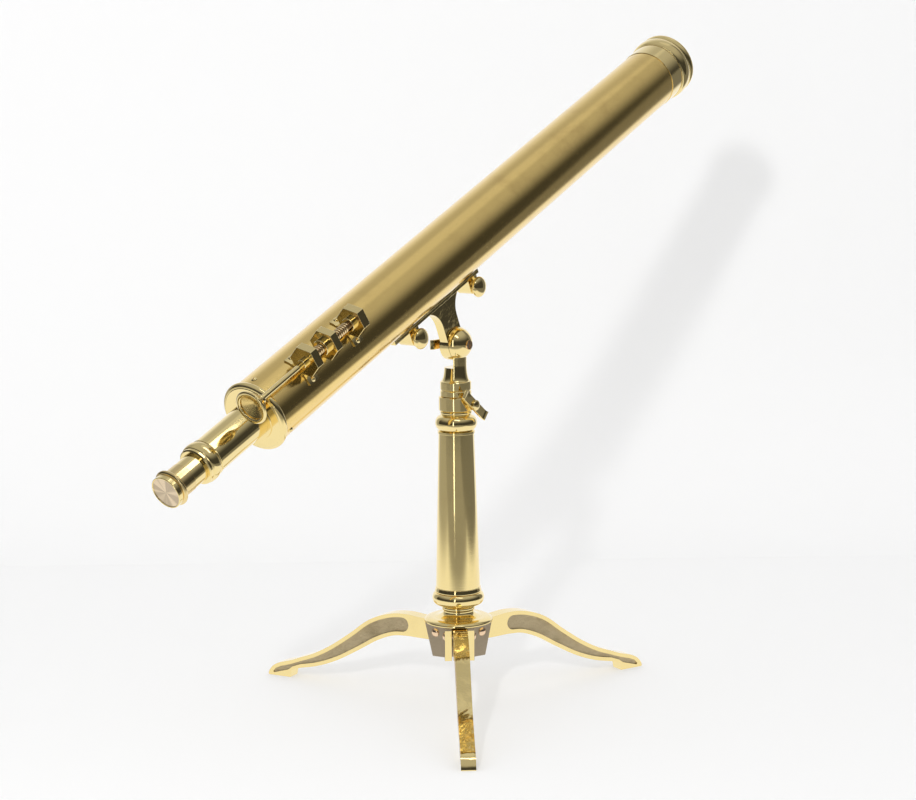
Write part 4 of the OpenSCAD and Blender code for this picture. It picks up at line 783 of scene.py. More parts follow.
@dataclass
class Pillar:
    """The turned pillar: its base moulding, its column and the collar that holds the head."""

    base_z: float = 118
    lip_r: float = 21
    torus_z: float = 126
    torus_r: float = 33
    torus_h: float = 18
    column_z: float = 148
    foot_r: float = 28
    top_r: float = 22.4
    bulb_z: float = 344
    bulb_r: float = 26.3
    ring_z: float = 368
    ring_r: float = 20
    collar_z: float = 373
    collar_r: float = 21.5
    collar_top: float = 390.4
    head_bore_r: float = 12.05
    screw_azimuth: float = -92
    wing_roll: float = 39

    def build(self, bench: Bench) -> None:
        """Makes the pillar's pieces and the screw that clamps its head."""
        self.base(bench)
        bench.turned("pillar_column", [(self.foot_r, self.column_z), (self.top_r, self.bulb_z),
                                       (self.top_r - 2.5, self.bulb_z), (self.foot_r - 2.5, self.column_z)],
                     UPRIGHT, Finish.PILLAR, "stand", steps=192, soft=0.1)
        self.collar(bench)
        self.screw(bench)

    def base(self, bench: Bench) -> None:
        """The lip, the torus and the step under the column."""
        r, z, h = self.torus_r, self.torus_z, self.torus_h
        outline = ([(4.1, self.base_z)] + arc(self.lip_r - 2, self.base_z + 3, 2, 3, -90, 90, 10)
                   + [(self.lip_r - 1, self.base_z + 6), (self.lip_r, z)]
                   + arc(r - h * 0.36, z + h * 0.45, h * 0.36, h * 0.45, -90, 90, 24)
                   + [(self.foot_r + 1.6, z + h * 0.9), (self.foot_r + 1.6, z + h),
                      (self.foot_r + 0.6, self.column_z - 1),
                      (self.foot_r + 0.6, self.column_z), (self.foot_r - 2.54, self.column_z),
                      (self.foot_r - 2.54, self.column_z + 8), (4.1, self.column_z + 8)])
        bench.turned("base_moulding", outline, UPRIGHT, Finish.PILLAR, "stand", steps=192)

    def collar(self, bench: Bench) -> None:
        """The bulb, the ring above it and the collar round the head's spigot."""
        plug, z = self.top_r - 2.9, self.bulb_z
        outline = ([(4.04, z - 12), (plug, z - 12), (plug, z), (self.top_r + 1, z), (self.top_r + 1, z + 3)]
                   + arc(self.bulb_r - 7.2, z + 13.2, 7.2, 9.6, -75, 75, 24)
                   + [(self.ring_r - 1.2, self.ring_z)]
                   + arc(self.ring_r - 1.2, self.ring_z + 2.5, 1.2, 2.1, -80, 80, 10)
                   + [(self.ring_r - 1.2, self.collar_z), (self.collar_r - 0.8, self.collar_z),
                      (self.collar_r, self.collar_z + 0.8), (self.collar_r, self.collar_top - 0.8),
                      (self.collar_r - 0.8, self.collar_top), (self.head_bore_r, self.collar_top),
                      (self.head_bore_r, self.collar_top - 29), (4.04, self.collar_top - 29)])
        bench.turned("pillar_collar", outline, UPRIGHT, Finish.PILLAR, "stand", steps=192)

    def screw(self, bench: Bench) -> None:
        """The winged screw in the collar."""
        place = roll(shift(roll(UPRIGHT, self.screw_azimuth), z=(self.collar_z + self.collar_top) / 2), 90,
                     "Y")
        out = 27.6
        bm = bmesh.new()
        bench.turn(bm, [(0, 12.3), (3.5, 12.3), (3.5, out - 4.4), (4.6, out - 4), (5.5, out - 3),
                        (5.5, out + 0.4),
                        (6.6, out + 0.8), (6.6, out + 5.2)] + arc(0, out + 5.2, 6.2, 2.2, 0, 90, 10)[:-1]
                   + [(0, out + 7.4)], place, False, 64)
        Wings(28).add(bench, bm, roll(shift(place, z=out), 90 - self.wing_roll))
        bench.finish("azimuth_wing_screw", bm, "azimuth_screw", Slot.POLISHED, Finish.FILED)


@dataclass
class Legs:
    """The three folding legs, cut from plate with pebbled recessed panels and a polished border."""

    azimuths: tuple[float, ...] = (-140.9, -20.9, 99.1)
    names: tuple[str, ...] = ("leg_front", "leg_right", "leg_left")
    bodies: tuple[str, ...] = ("front_leg", "right_leg", "left_leg")
    thick: float = 17.8
    hinge_r: float = 23.6
    hinge_z: float = 89
    root_r: float = 14.2
    tip_r: float = 282
    sole_len: float = 34
    heel_h: float = 13
    border: float = 5
    depth: float = 1.7
    edge: float = 1.3
    panel_first: int = 22
    line: list[tuple[float, ...]] = field(default_factory=list)

    def __post_init__(self) -> None:
        """Draws the middle line of a leg: radius, height and half depth."""
        path = [(self.hinge_r + 8, self.hinge_z + 0.4, self.root_r - 0.8), (50.6, 89.8, 13.5),
                (72.9, 91, 14.3),
                (95, 88.6, 14.3), (120.5, 78.6, 14.2), (148, 60.6, 12.4), (179, 41.8, 10.6), (207, 29, 8.7),
                (232, 21.5, 6.9)]
        self.line = smooth_curve(path, 10)

    def side(self, i: int) -> Vector:
        """Direction square to the middle line at a point of it."""
        a, b = self.line[max(i - 1, 0)], self.line[min(i + 1, len(self.line) - 1)]
        return Vector((a[1] - b[1], b[0] - a[0])).normalized()

    def rim(self, i: int, side: int, less: float) -> tuple[float, float]:
        """A point of the edge, or a distance inside it."""
        point = Vector(self.line[i][:2]) + self.side(i) * side * (self.line[i][2] - less)
        return point.x, point.y

    def outline(self) -> Outline:
        """The whole outline: round root, lower edge, heel, sole, toe and upper edge."""
        back, last = self.tip_r - self.sole_len, len(self.line) - 1
        toe = smooth_curve([(self.tip_r, 1.2), (self.tip_r - 1.8, 6.2), (self.tip_r - 8, 13),
                            (self.tip_r - 18, 18.2),
                            (back - 2, 23.2)], 8)
        return (arc(self.hinge_r, self.hinge_z, self.root_r, self.root_r, 88, 270, 40)
                + [self.rim(i, -1, 0) for i in range(last + 1)]
                + [(back - 10, self.heel_h), (back - 2, self.heel_h - 3.5), (back, 0), (self.tip_r - 1, 0)]
                + toe + [self.rim(i, 1, 0) for i in range(last, -1, -1)])

    def panel(self) -> Outline:
        """The recessed panel, round at the hub and running into the toe."""
        back, last, first = self.tip_r - self.sole_len, len(self.line) - 1, self.panel_first
        mid, side = self.line[first], self.side(first)
        turn = math.degrees(math.atan2(side.y, side.x))
        return (arc(mid[0], mid[1], mid[2] - self.border, mid[2] - self.border, turn, turn + 180, 24)
                + [self.rim(i, -1, self.border) for i in range(first + 1, last + 1)]
                + [(back - 4, self.heel_h + 2), (back + 3, self.heel_h - 3), (self.tip_r - 9, 3.5),
                   (self.tip_r - 7.5, 5), (self.tip_r - 12, 10), (self.tip_r - 20, 13.6), (back, 17.6)]
                + [self.rim(i, 1, self.border) for i in range(last, first, -1)])

    def build(self, bench: Bench) -> None:
        """Makes the three legs."""
        for azimuth, name, body in zip(self.azimuths, self.names, self.bodies):
            bm = bmesh.new()
            self.add(bench, bm, azimuth)
            bench.finish(name, bm, body, Slot.CAST, Finish.FILED, Finish.PANEL)

    def add(self, bench: Bench, bm: Mesh, azimuth: float) -> None:
        """Adds one leg: its border and panel on one side, mirrored to the other."""
        part = bmesh.new()
        outer = self.loop(part, self.outline(), self.thick / 2)
        inner = self.loop(part, self.panel(), self.thick / 2)
        bmesh.ops.triangle_fill(part, use_beauty=True, use_dissolve=False, edges=outer + inner)
        down = bmesh.ops.extrude_edge_only(part, edges=inner)
        ledge = [e for e in grow(part, down, (0, 0, -self.depth)) if e.is_boundary]
        filled = bmesh.ops.triangle_fill(part, use_beauty=True, use_dissolve=False, edges=ledge)
        for face in (g for g in filled["geom"] if isinstance(g, bmesh.types.BMFace)):
            face.material_index = 1
        grow(part, bmesh.ops.extrude_edge_only(part, edges=outer), (0, 0, -self.thick / 2))
        bmesh.ops.mirror(part, geom=part.verts[:] + part.edges[:] + part.faces[:], axis="Z", merge_dist=CLOSE)
        bmesh.ops.remove_doubles(part, verts=part.verts, dist=CLOSE)
        bmesh.ops.recalc_face_normals(part, faces=part.faces)
        part.normal_update()
        outer_edges = [e for e in part.edges if e.is_manifold and math.degrees(e.calc_face_angle(0)) > 50
                       and abs(abs(e.verts[0].co.z) - self.thick / 2) < 0.01]
        bmesh.ops.bevel(part, geom=outer_edges, offset=self.edge, offset_type="OFFSET", segments=4,
                        profile=0.5,
                        affect="EDGES", clamp_overlap=True, material=-1)
        along = Vector((math.cos(math.radians(azimuth)), math.sin(math.radians(azimuth)), 0))
        bench.join(bm, part, Pose.basis(along, Vector((along.y, -along.x, 0)), Vector((0, 0, 0))))

    @staticmethod
    def loop(part: Mesh, outline: Outline, z: float) -> list[bmesh.types.BMEdge]:
        """Adds a closed loop of edges at a height."""
        verts = [part.verts.new((x, y, z)) for x, y in outline]
        return [part.edges.new((a, b)) for a, b in zip(verts, verts[1:] + verts[:1])]


@dataclass
class Head:
    """The ball-topped head that turns on the pillar, its pivot screw and the altitude nut."""

    foot_z: float = 390.45
    spigot_r: float = 12
    spigot_len: float = 28
    base_r: float = 19.5
    base_h: float = 19
    groove_up: float = 8
    neck_r: float = 14
    neck_z: float = 430
    pivot_z: float = 456
    ball_r: float = 21.6
    ball_up: float = 0.5
    cheek_y: float = 6
    shoulder_z: float = 427
    screw_head_r: float = 5.8
    nut_in_y: float = 10.7
    nut_r: float = 8.5
    nut_len: float = 11
    pivot_bore_r: float = 5.05

    def build(self, bench: Bench) -> None:
        """Makes the head, its screw and its nut."""
        self.body(bench)
        self.pivot(bench)
        self.nut(bench)
        bench.dress(Finish.COPPER, "pivot_washers")

    def outline(self) -> Outline:
        """Half section of the whole head before its cheek is cut."""
        z, g, r, top = self.foot_z, self.foot_z + self.groove_up, self.base_r, self.foot_z + self.base_h
        ball = self.pivot_z + self.ball_up
        meet = math.degrees(math.acos(self.neck_r / self.ball_r))
        return ([(0, z - self.spigot_len), (self.spigot_r, z - self.spigot_len), (self.spigot_r, z),
                 (r - 1, z),
                 (r, z + 1), (r, g - 1.2), (r - 1, g), (r, g + 1.2), (r, top - 1), (r - 0.6, top)]
                + arc(r - 0.6, self.neck_z, r - 0.6 - self.neck_r, self.neck_z - top, 270, 180, 20)
                + arc(0, ball, self.ball_r, self.ball_r, -meet, 89.9, 40)[:-1] + [(0, ball + self.ball_r)])

    def body(self, bench: Bench) -> None:
        """The head with its flat cheek and shoulder."""
        whole = bmesh.new()
        bench.turn(whole, self.outline(), UPRIGHT, False, 144, 0.3)
        cut(whole, Vector((0, 0, self.shoulder_z)), Vector((0, 0, 1)))
        upper = [f for f in whole.faces if f.calc_center_median().z > self.shoulder_z]
        cut(whole, Vector((0, -self.cheek_y, 0)), Vector((0, 1, 0)), upper, clear=True)
        bmesh.ops.delete(whole, geom=[f for f in whole.faces if f.calc_center_median().z > self.shoulder_z
                                      and f.calc_center_median().y > -self.cheek_y], context="FACES")
        open_edges = [e for e in whole.edges if e.is_boundary]
        corners = [v for v in {v for e in open_edges for v in e.verts}
                   if abs(v.co.y + self.cheek_y) < 0.01 and abs(v.co.z - self.shoulder_z) < 0.01]
        if len(corners) == 2:
            across = whole.edges.new(corners)
            cheek = [e for e in open_edges if all(abs(v.co.y + self.cheek_y) < 0.01 for v in e.verts)]
            shelf = [e for e in open_edges if e not in cheek]
            for loop in (cheek, shelf):
                bmesh.ops.edgeloop_fill(whole, edges=loop + [across])
        else:
            bmesh.ops.holes_fill(whole, edges=open_edges, sides=0)
        bmesh.ops.recalc_face_normals(whole, faces=whole.faces)
        bench.round_edges(whole, 0.35, 2, 50)
        bench.finish("pillar_head", whole, "head", Slot.POLISHED, Finish.PILLAR)

    def pivot(self, bench: Bench) -> None:
        """The pivot screw with its slotted head."""
        place = roll(shift(UPRIGHT, z=self.pivot_z), 90, "X")
        seat, end = self.ball_r - 1.6, self.nut_in_y + self.nut_len + 1
        bm = bmesh.new()
        bench.turn(bm, [(0, -end), (5, -end), (5, seat), (0, seat)], place, False, 64)
        for side in (-1, 1):
            half = [(0.7 * side, y) for y in (-5.75, 5.75)]
            round_side = [(self.screw_head_r * math.cos(math.radians(t)) * side,
                           self.screw_head_r * math.sin(math.radians(t)))
                          for t in range(83, -84, -6)]
            bench.plate(bm, half + round_side, 2.6, shift(place, z=seat), 0.25, 2)
        bench.plate(bm, rectangle(-0.7, 0.7, -5.6, 5.6), 1.2, shift(place, z=seat), 0, 1)
        bench.finish("pivot_screw", bm, "head", Slot.POLISHED, Finish.COPPER)

    def nut(self, bench: Bench) -> None:
        """The winged nut on the far end of the pivot screw."""
        place = roll(shift(UPRIGHT, z=self.pivot_z), -90, "X")
        bm = bmesh.new()
        y = self.nut_in_y
        bench.turn(bm, [(self.pivot_bore_r, y), (self.nut_r, y), (self.nut_r, y + 4),
                        (self.nut_r - 0.8, y + self.nut_len - 1.5),
                        (self.nut_r - 2, y + self.nut_len), (self.pivot_bore_r, y + self.nut_len)], place,
                   True, 64)
        Wings().add(bench, bm, shift(place, z=y + 4.3))
        bench.finish("altitude_wing_nut", bm, "altitude_nut", Slot.POLISHED, Finish.FILED)


@dataclass
class Saddle:
    """The arm that carries the tube, the shoe under it and the two clamp screws."""

    rear: float = -116
    front: float = 66
    half_w: float = 12
    low_n: float = 65.2
    shoe_n: float = 69
    tube_n: float = 111.4
    tube_r: float = 40
    stations: tuple[float, float] = (-75.5, 53.5)
    boss_n: float = 52
    boss_r: float = 9.5
    near_y: float = 10
    far_y: float = 12
    disc_r: float = 20.5
    disc_near_y: float = -5.2
    disc_far_y: float = 9.2
    step: float = 1.2
    waist_rear: float = 17
    waist_front: float = 14
    waist_n: float = 34
    curve_r: float = 30
    head_r: float = 13
    head_h: float = 12.6
    pivot_bore_r: float = 5.05
    curve_turn: float = 87.3

    def build(self, bench: Bench) -> None:
        """Makes the arm, the shoe and the clamp screws."""
        self.arm(bench)
        self.shoe(bench)
        for station, node, body in zip(self.stations, ("rear_clamp_screw", "front_clamp_screw"),
                                       ("rear_clamp", "front_clamp")):
            self.clamp(bench, station, node, body)
        bench.dress(Finish.STEEL, "shoe_screws")

    def web(self) -> Outline:
        """Outline of the web between the disc and the plate, with concave sides."""
        rear, front = -self.waist_rear - self.curve_r, self.waist_front + self.curve_r
        top = self.low_n + 0.5
        up_rear, up_front = self.waist_n - 1, self.waist_n + 1
        rear_side = arc(rear, up_rear, self.curve_r, self.curve_r, self.curve_turn, 0, 20)
        front_side = arc(front, up_front, self.curve_r, self.curve_r, 180, 180 - self.curve_turn, 20)
        return ([(rear_side[0][0] - 1, top)] + rear_side + [(-self.waist_rear, 2), (self.waist_front, 2)]
                + front_side + [(front_side[-1][0] + 1, top)])

    def arm(self, bench: Bench) -> None:
        """The arm: plate, web, disc and the bosses of the clamps."""
        place = POSE.cross(0, 0)
        bm = bmesh.new()
        bench.plate(bm, self.web(), self.disc_far_y - self.disc_near_y - 2 * self.step,
                    shift(place, z=-self.disc_far_y + self.step), 1.0, 3)
        bench.turn(bm, [(self.pivot_bore_r, -self.disc_far_y), (self.disc_r, -self.disc_far_y),
                        (self.disc_r, -self.disc_near_y),
                        (self.pivot_bore_r, -self.disc_near_y)], place, True, 128, 0.8)
        bench.plate(bm, rectangle(self.rear, self.front, self.low_n, self.shoe_n), 2 * self.half_w,
                    shift(place, z=-self.half_w), 0.6, 3)
        for station in self.stations:
            outline = ([(station + self.boss_r, self.low_n + 1), (station - self.boss_r, self.low_n + 1)]
                       + arc(station, self.boss_n, self.boss_r, self.boss_r, 180, 360, 24))
            bench.plate(bm, outline, self.near_y + self.far_y, shift(place, z=-self.far_y), 0.7, 3)
        bench.finish("saddle_arm", bm, "telescope", Slot.CAST, Finish.FILED)

    def shoe(self, bench: Bench) -> None:
        """The shoe that follows the tube."""
        reach = math.degrees(math.asin(self.half_w / self.tube_r))
        along = POSE.along()
        place = Pose.basis(Vector((0, -1, 0)), along, Vector((0, 0, POSE.pivot_z)) + along * self.rear)
        under = arc(0, self.tube_n, self.tube_r, self.tube_r, 270 + reach, 270 - reach, 16)
        bm = bmesh.new()
        outline = [(x, -y) for x, y in [(-self.half_w, self.shoe_n), (self.half_w, self.shoe_n)] + under]
        bench.plate(bm, outline, self.front - self.rear, place, 0.4, 2)
        bench.finish("tube_shoe", bm, "telescope", Slot.POLISHED, Finish.FILED)

    def clamp(self, bench: Bench, station: float, node: str, body: str) -> None:
        """A domed clamp screw."""
        neck, rise = 2.0, self.head_h - 2
        mid = neck + rise * 0.42
        outline = ([(0, -self.far_y - self.near_y), (4, -self.far_y - self.near_y), (4, 0.1),
                    (self.head_r * 0.6, 0.1), (self.head_r * 0.6, neck)]
                   + arc(0, mid, self.head_r, rise * 0.42, -50, 0, 10)
                   + arc(0, mid, self.head_r, rise * 0.58, 0, 90, 26)[1:-1] + [(0, self.head_h)])
        bm = bmesh.new()
        bench.turn(bm, outline, shift(POSE.cross(station, self.boss_n), z=self.near_y), False, 96, 0.4)
        bench.finish(node, bm, body, Slot.POLISHED, Finish.CROSS)


@dataclass
class MainTube:
    """The lacquered tube, its eye end plate, the sleeve and the objective's cell."""

    r: float = 40
    inner_r: float = 38.5
    rear: float = -349
    front: float = 532.6
    slot: tuple[float, float] = (-278.25, -215.75)
    slot_half: float = 4
    plate_r: float = 42.9
    plate_t: float = 9
    face_r: float = 38.6
    sleeve_r: float = 40.7
    sleeve_end: float = 558
    cell_end: float = 589
    bead_r: float = 43.9
    groove_r: float = 41.9
    rim_r: float = 43
    plate_bore_r: float = 25.04
    plug_r: float = 38.46
    plug_inner_r: float = 36.46
    cell_bore_r: float = 35.04
    ledge_r: float = 33.4

    def build(self, bench: Bench) -> None:
        """Makes the tube and its ends, and dresses what is inside."""
        self.tube(bench)
        self.eye_plate(bench)
        self.sleeve(bench)
        self.cell(bench)
        bench.dress(Finish.TUBE_FITTING, "focus_bush", "eye_plate_screws")
        bench.dress(Finish.BLACK, "tube_baffles", "lens_retaining_ring")
        bench.dress(Finish.GLASS, "crown_lens", "flint_lens")

    def tube(self, bench: Bench) -> None:
        """The tube with the slot that the focusing post runs in."""
        bm = bmesh.new()
        low, high = self.slot
        bench.turn(bm, [(self.inner_r, self.rear), (self.r, self.rear), (self.r, low), (self.r, high),
                        (self.r, self.front), (self.inner_r, self.front), (self.inner_r, high),
                        (self.inner_r, low)],
                   UPRIGHT, True, 192, 0.25)
        turn = Matrix.Rotation(math.radians(POSE.gear_angle), 3, "Z")
        out, side = turn @ Vector((1, 0, 0)), turn @ Vector((0, 1, 0))
        for edge in (-self.slot_half, self.slot_half):
            near = [f for f in bm.faces if f.calc_center_median().dot(out) > self.inner_r * 0.9]
            cut(bm, side * edge, side, near)
        gone = [f for f in bm.faces if abs(f.calc_center_median().dot(side)) < self.slot_half
                and f.calc_center_median().dot(out) > 0 and low < f.calc_center_median().z < high]
        bmesh.ops.delete(bm, geom=gone, context="FACES")
        bmesh.ops.bridge_loops(bm, edges=[e for e in bm.edges if e.is_boundary])
        for face in bm.faces:
            inside = face.calc_center_median()
            face.material_index = 1 if Vector((inside.x, inside.y)).length < self.inner_r + 0.1 else 0
        bmesh.ops.transform(bm, matrix=POSE.tube(), verts=bm.verts)
        bmesh.ops.recalc_face_normals(bm, faces=bm.faces)
        bench.finish("main_tube", bm, "telescope", Slot.LACQUERED, Finish.TUBE, Finish.BLACK)

    def eye_plate(self, bench: Bench) -> None:
        """The end plate on the eye side, with its rolled edge."""
        face_s = self.rear - self.plate_t
        outline = ([(self.plate_bore_r, self.rear), (self.plate_bore_r, face_s), (self.face_r - 0.8, face_s),
                    (self.face_r, face_s + 0.5)]
                   + arc(self.face_r, face_s + self.plate_t * 0.55, self.plate_r - self.face_r,
                         self.plate_t * 0.5,
                         -90, 60, 24)
                   + [(self.r, self.rear), (self.plug_r, self.rear), (self.plug_r, self.rear + 15),
                      (self.plug_inner_r, self.rear + 15),
                      (self.plug_inner_r, self.rear)])
        bench.turned("eye_plate", outline, POSE.tube(), Finish.TUBE_FITTING, "telescope", steps=192)

    def sleeve(self, bench: Bench) -> None:
        """The plain sleeve between the tube and the cell."""
        outline = [(self.plug_inner_r, self.front - 12), (self.plug_r, self.front - 12),
                   (self.plug_r, self.front), (self.sleeve_r, self.front),
                   (self.sleeve_r, self.sleeve_end), (38.5, self.sleeve_end), (38.5, self.sleeve_end - 12.3),
                   (self.plug_inner_r, self.sleeve_end - 14.3)]
        bench.turned("objective_sleeve", outline, POSE.tube(), Finish.TUBE_FITTING, "telescope", steps=192)

    def cell(self, bench: Bench) -> None:
        """The objective's cell: a big bead, a groove and a rim."""
        s, length = self.sleeve_end, self.cell_end - self.sleeve_end
        bead, rim = length * 0.6, length * 0.34
        groove = s + bead + length * 0.03
        outline = ([(self.plug_inner_r, s - 12), (self.plug_r, s - 12), (self.plug_r, s),
                    (self.sleeve_r + 0.4, s)]
                   + arc(self.sleeve_r + 0.4, s + 1 + bead / 2, self.bead_r - self.sleeve_r - 0.4, bead / 2,
                         -80, 80, 24)
                   + [(self.groove_r, groove - 0.6), (self.groove_r, groove + 0.6)]
                   + arc(self.rim_r - rim * 0.28, self.cell_end - rim / 2, rim * 0.28, rim / 2, -70, 80, 20)
                   + [(36.6, self.cell_end), (36, self.cell_end - 0.6), (36, self.cell_end - 3),
                      (self.ledge_r, self.cell_end - 3), (self.ledge_r, self.cell_end - 5.2),
                      (self.cell_bore_r, self.cell_end - 5.2), (self.cell_bore_r, s)])
        bench.turned("objective_cell", outline, POSE.tube(), Finish.TUBE_FITTING, "telescope", steps=192)


@dataclass
class FocusGear:
    """The focusing gear on the tube's side: two hexagonal blocks, lead screw, rod, knob and nut."""

    hex_r: float = 19.63
    rear_back: float = -297
    rear_t: float = 11
    front_back: float = -208.6
    front_t: float = 11.6
    nut_back: float = -260
    nut_t: float = 10.5
    foot_half: float = 29.5
    foot_w: float = 16
    tube_r: float = 40
    knob_s: float = -393
    knob_r: float = 20.3
    knob_roll: float = 2.8
    knob_recess: float = 8
    thread_r: float = 5.8
    ridge_r: float = 1.1
    pitch: float = 3.5
    turns: int = 18
    thread_back: float = -281.3
    screw_back: float = -285.8
    screw_front: float = -213.8
    nut_bore_r: float = 5.87
    bearing_r: float = 3.15
    screw_bore_r: float = 3.14

    def build(self, bench: Bench) -> None:
        """Makes the gear's pieces."""
        self.block(bench, "gear_bracket_rear", self.rear_back, self.rear_t, self.rear_back + 8, 5.6)
        self.block(bench, "gear_bracket_front", self.front_back, self.front_t, self.front_back + 6, 8.4)
        self.nut(bench)
        self.thread(bench)
        self.knob(bench)
        bench.dress(Finish.TUBE_FITTING, "focus_rod", "bracket_screws")
        bench.dress(Finish.BLACK, "focus_carriage")
        bench.dress(Finish.STEEL, "carriage_screws")

    def hex_outline(self, lift: float = 0) -> Outline:
        """A hexagon whose lower corner is cut away by the tube."""
        corners = hexagon(self.hex_r)
        reach = self.tube_r + lift
        half = 2.72 + lift * 1.2
        foot = [(-POSE.gear_rho + math.sqrt(reach * reach - y * y), y) for y in (half, 0, -half)]
        return corners[:3] + foot + corners[4:]

    def block(self, bench: Bench, node: str, back: float, thick: float, foot_mid: float,
              boss_r: float) -> None:
        """One hexagonal block on its curved foot, with the boss of its bearing."""
        bm = bmesh.new()
        place = POSE.gear()
        bench.plate(bm, self.hex_outline(), thick, shift(place, z=back), 0.6, 3)
        bench.turn(bm, [(self.bearing_r, back - 5), (boss_r - 0.5, back - 5), (boss_r, back - 4.4),
                        (boss_r, back + 1),
                        (self.bearing_r, back + 1)], place, True, 64, 0.2)
        foot = (arc(0, 0, self.tube_r, self.tube_r, -self.foot_half, self.foot_half, 24)
                + arc(0, 0, self.tube_r + 2, self.tube_r + 2, self.foot_half, -self.foot_half, 24))
        bench.plate(bm, foot, self.foot_w, shift(roll(POSE.tube(), POSE.gear_angle), z=foot_mid - 8), 0.5, 2)
        bench.finish(node, bm, "telescope", Slot.POLISHED, Finish.FILED)

    def nut(self, bench: Bench) -> None:
        """The travelling nut with its collar and post."""
        bm = bmesh.new()
        place, back = POSE.gear(), self.nut_back
        bench.plate(bm, self.hex_outline(0.4), self.nut_t, shift(place, z=back), 0.6, 3)
        bench.turn(bm, [(self.nut_bore_r, back - 6), (9.4, back - 6), (10, back - 5.3), (10, back + 1),
                        (self.nut_bore_r, back + 1)], place,
                   True, 64, 0.2)
        post = shift(POSE.radial(back + self.nut_t / 2 - 4, POSE.gear_angle, 37.45), 0, -3)
        bench.plate(bm, rectangle(0, 8, 0, 6), 13, post, 0.2, 1)
        bench.finish("focus_nut", bm, "focus_draw", Slot.POLISHED, Finish.FILED)

    def thread(self, bench: Bench) -> None:
        """The lead screw: a core and a round ridge wound round it."""
        bm = bmesh.new()
        place, core = POSE.gear(), self.thread_r - self.ridge_r
        bench.turn(bm,
                   [(self.screw_bore_r, self.screw_back), (core, self.screw_back), (core, self.screw_front),
                        (self.screw_bore_r, self.screw_front)], place, True, 64, 0.3)
        ridge = bmesh.new()
        ring = bmesh.ops.create_circle(ridge, cap_ends=True, segments=12, radius=self.ridge_r)
        bmesh.ops.rotate(ridge, verts=ring["verts"], cent=(0, 0, 0),
                         matrix=Matrix.Rotation(math.pi / 2, 3, "X"))
        bmesh.ops.translate(ridge, verts=ring["verts"], vec=(core, 0, self.thread_back))
        steps = 36 * self.turns
        bmesh.ops.spin(ridge, geom=ridge.verts[:] + ridge.edges[:] + ridge.faces[:], cent=(0, 0, 0),
                       axis=(0, 0, 1),
                       dvec=(0, 0, self.pitch * self.turns / steps), angle=2 * math.pi * self.turns,
                       steps=steps,
                       use_merge=False, use_duplicate=False)
        bmesh.ops.remove_doubles(ridge, verts=ridge.verts, dist=1e-5)
        # The core takes the painted root shade, so the valleys between the ridges read dark.
        for face in bm.faces:
            face.material_index = 1
        bench.join(bm, ridge, place)
        bench.finish("lead_screw", bm, "focus_screw", Slot.POLISHED, Finish.THREAD, Finish.PAINTED_ROOT_SHADE)

    def knob(self, bench: Bench) -> None:
        """The knob: a cone with a rolled rim and a dished face."""
        rim, s = self.knob_r - self.knob_roll, self.knob_s
        back = s + self.knob_recess + 4
        outline = ([(0, s + self.knob_recess), (4.2, s + self.knob_recess - 0.4),
                    (rim - self.knob_roll, s + 1.6), (rim - self.knob_roll, s)]
                   + arc(rim, s, self.knob_roll, 2, 185, 420, 30)
                   + [(self.knob_r * 0.62, back - 2.4), (6.6, back), (6, back + 1), (6, back + 6),
                      (0, back + 6)])
        bm = bmesh.new()
        bench.turn(bm, outline, POSE.gear(), False, 128, 0.5)
        axis = POSE.gear().to_translation()
        # The dished face takes the spun finish with its painted highlight and shade streaks.
        for face in bm.faces:
            away = face.calc_center_median() - axis
            along = away.dot(POSE.along())
            dished = face.normal.dot(POSE.along()) < -0.3 and (away - POSE.along()
                                                               * along).length < rim - self.knob_roll
            face.material_index = 1 if dished and along < self.knob_s + self.knob_recess + 0.5 else 0
        bench.finish("focus_knob", bm, "focus_screw", Slot.POLISHED, Finish.TUBE_FITTING, Finish.DISH)


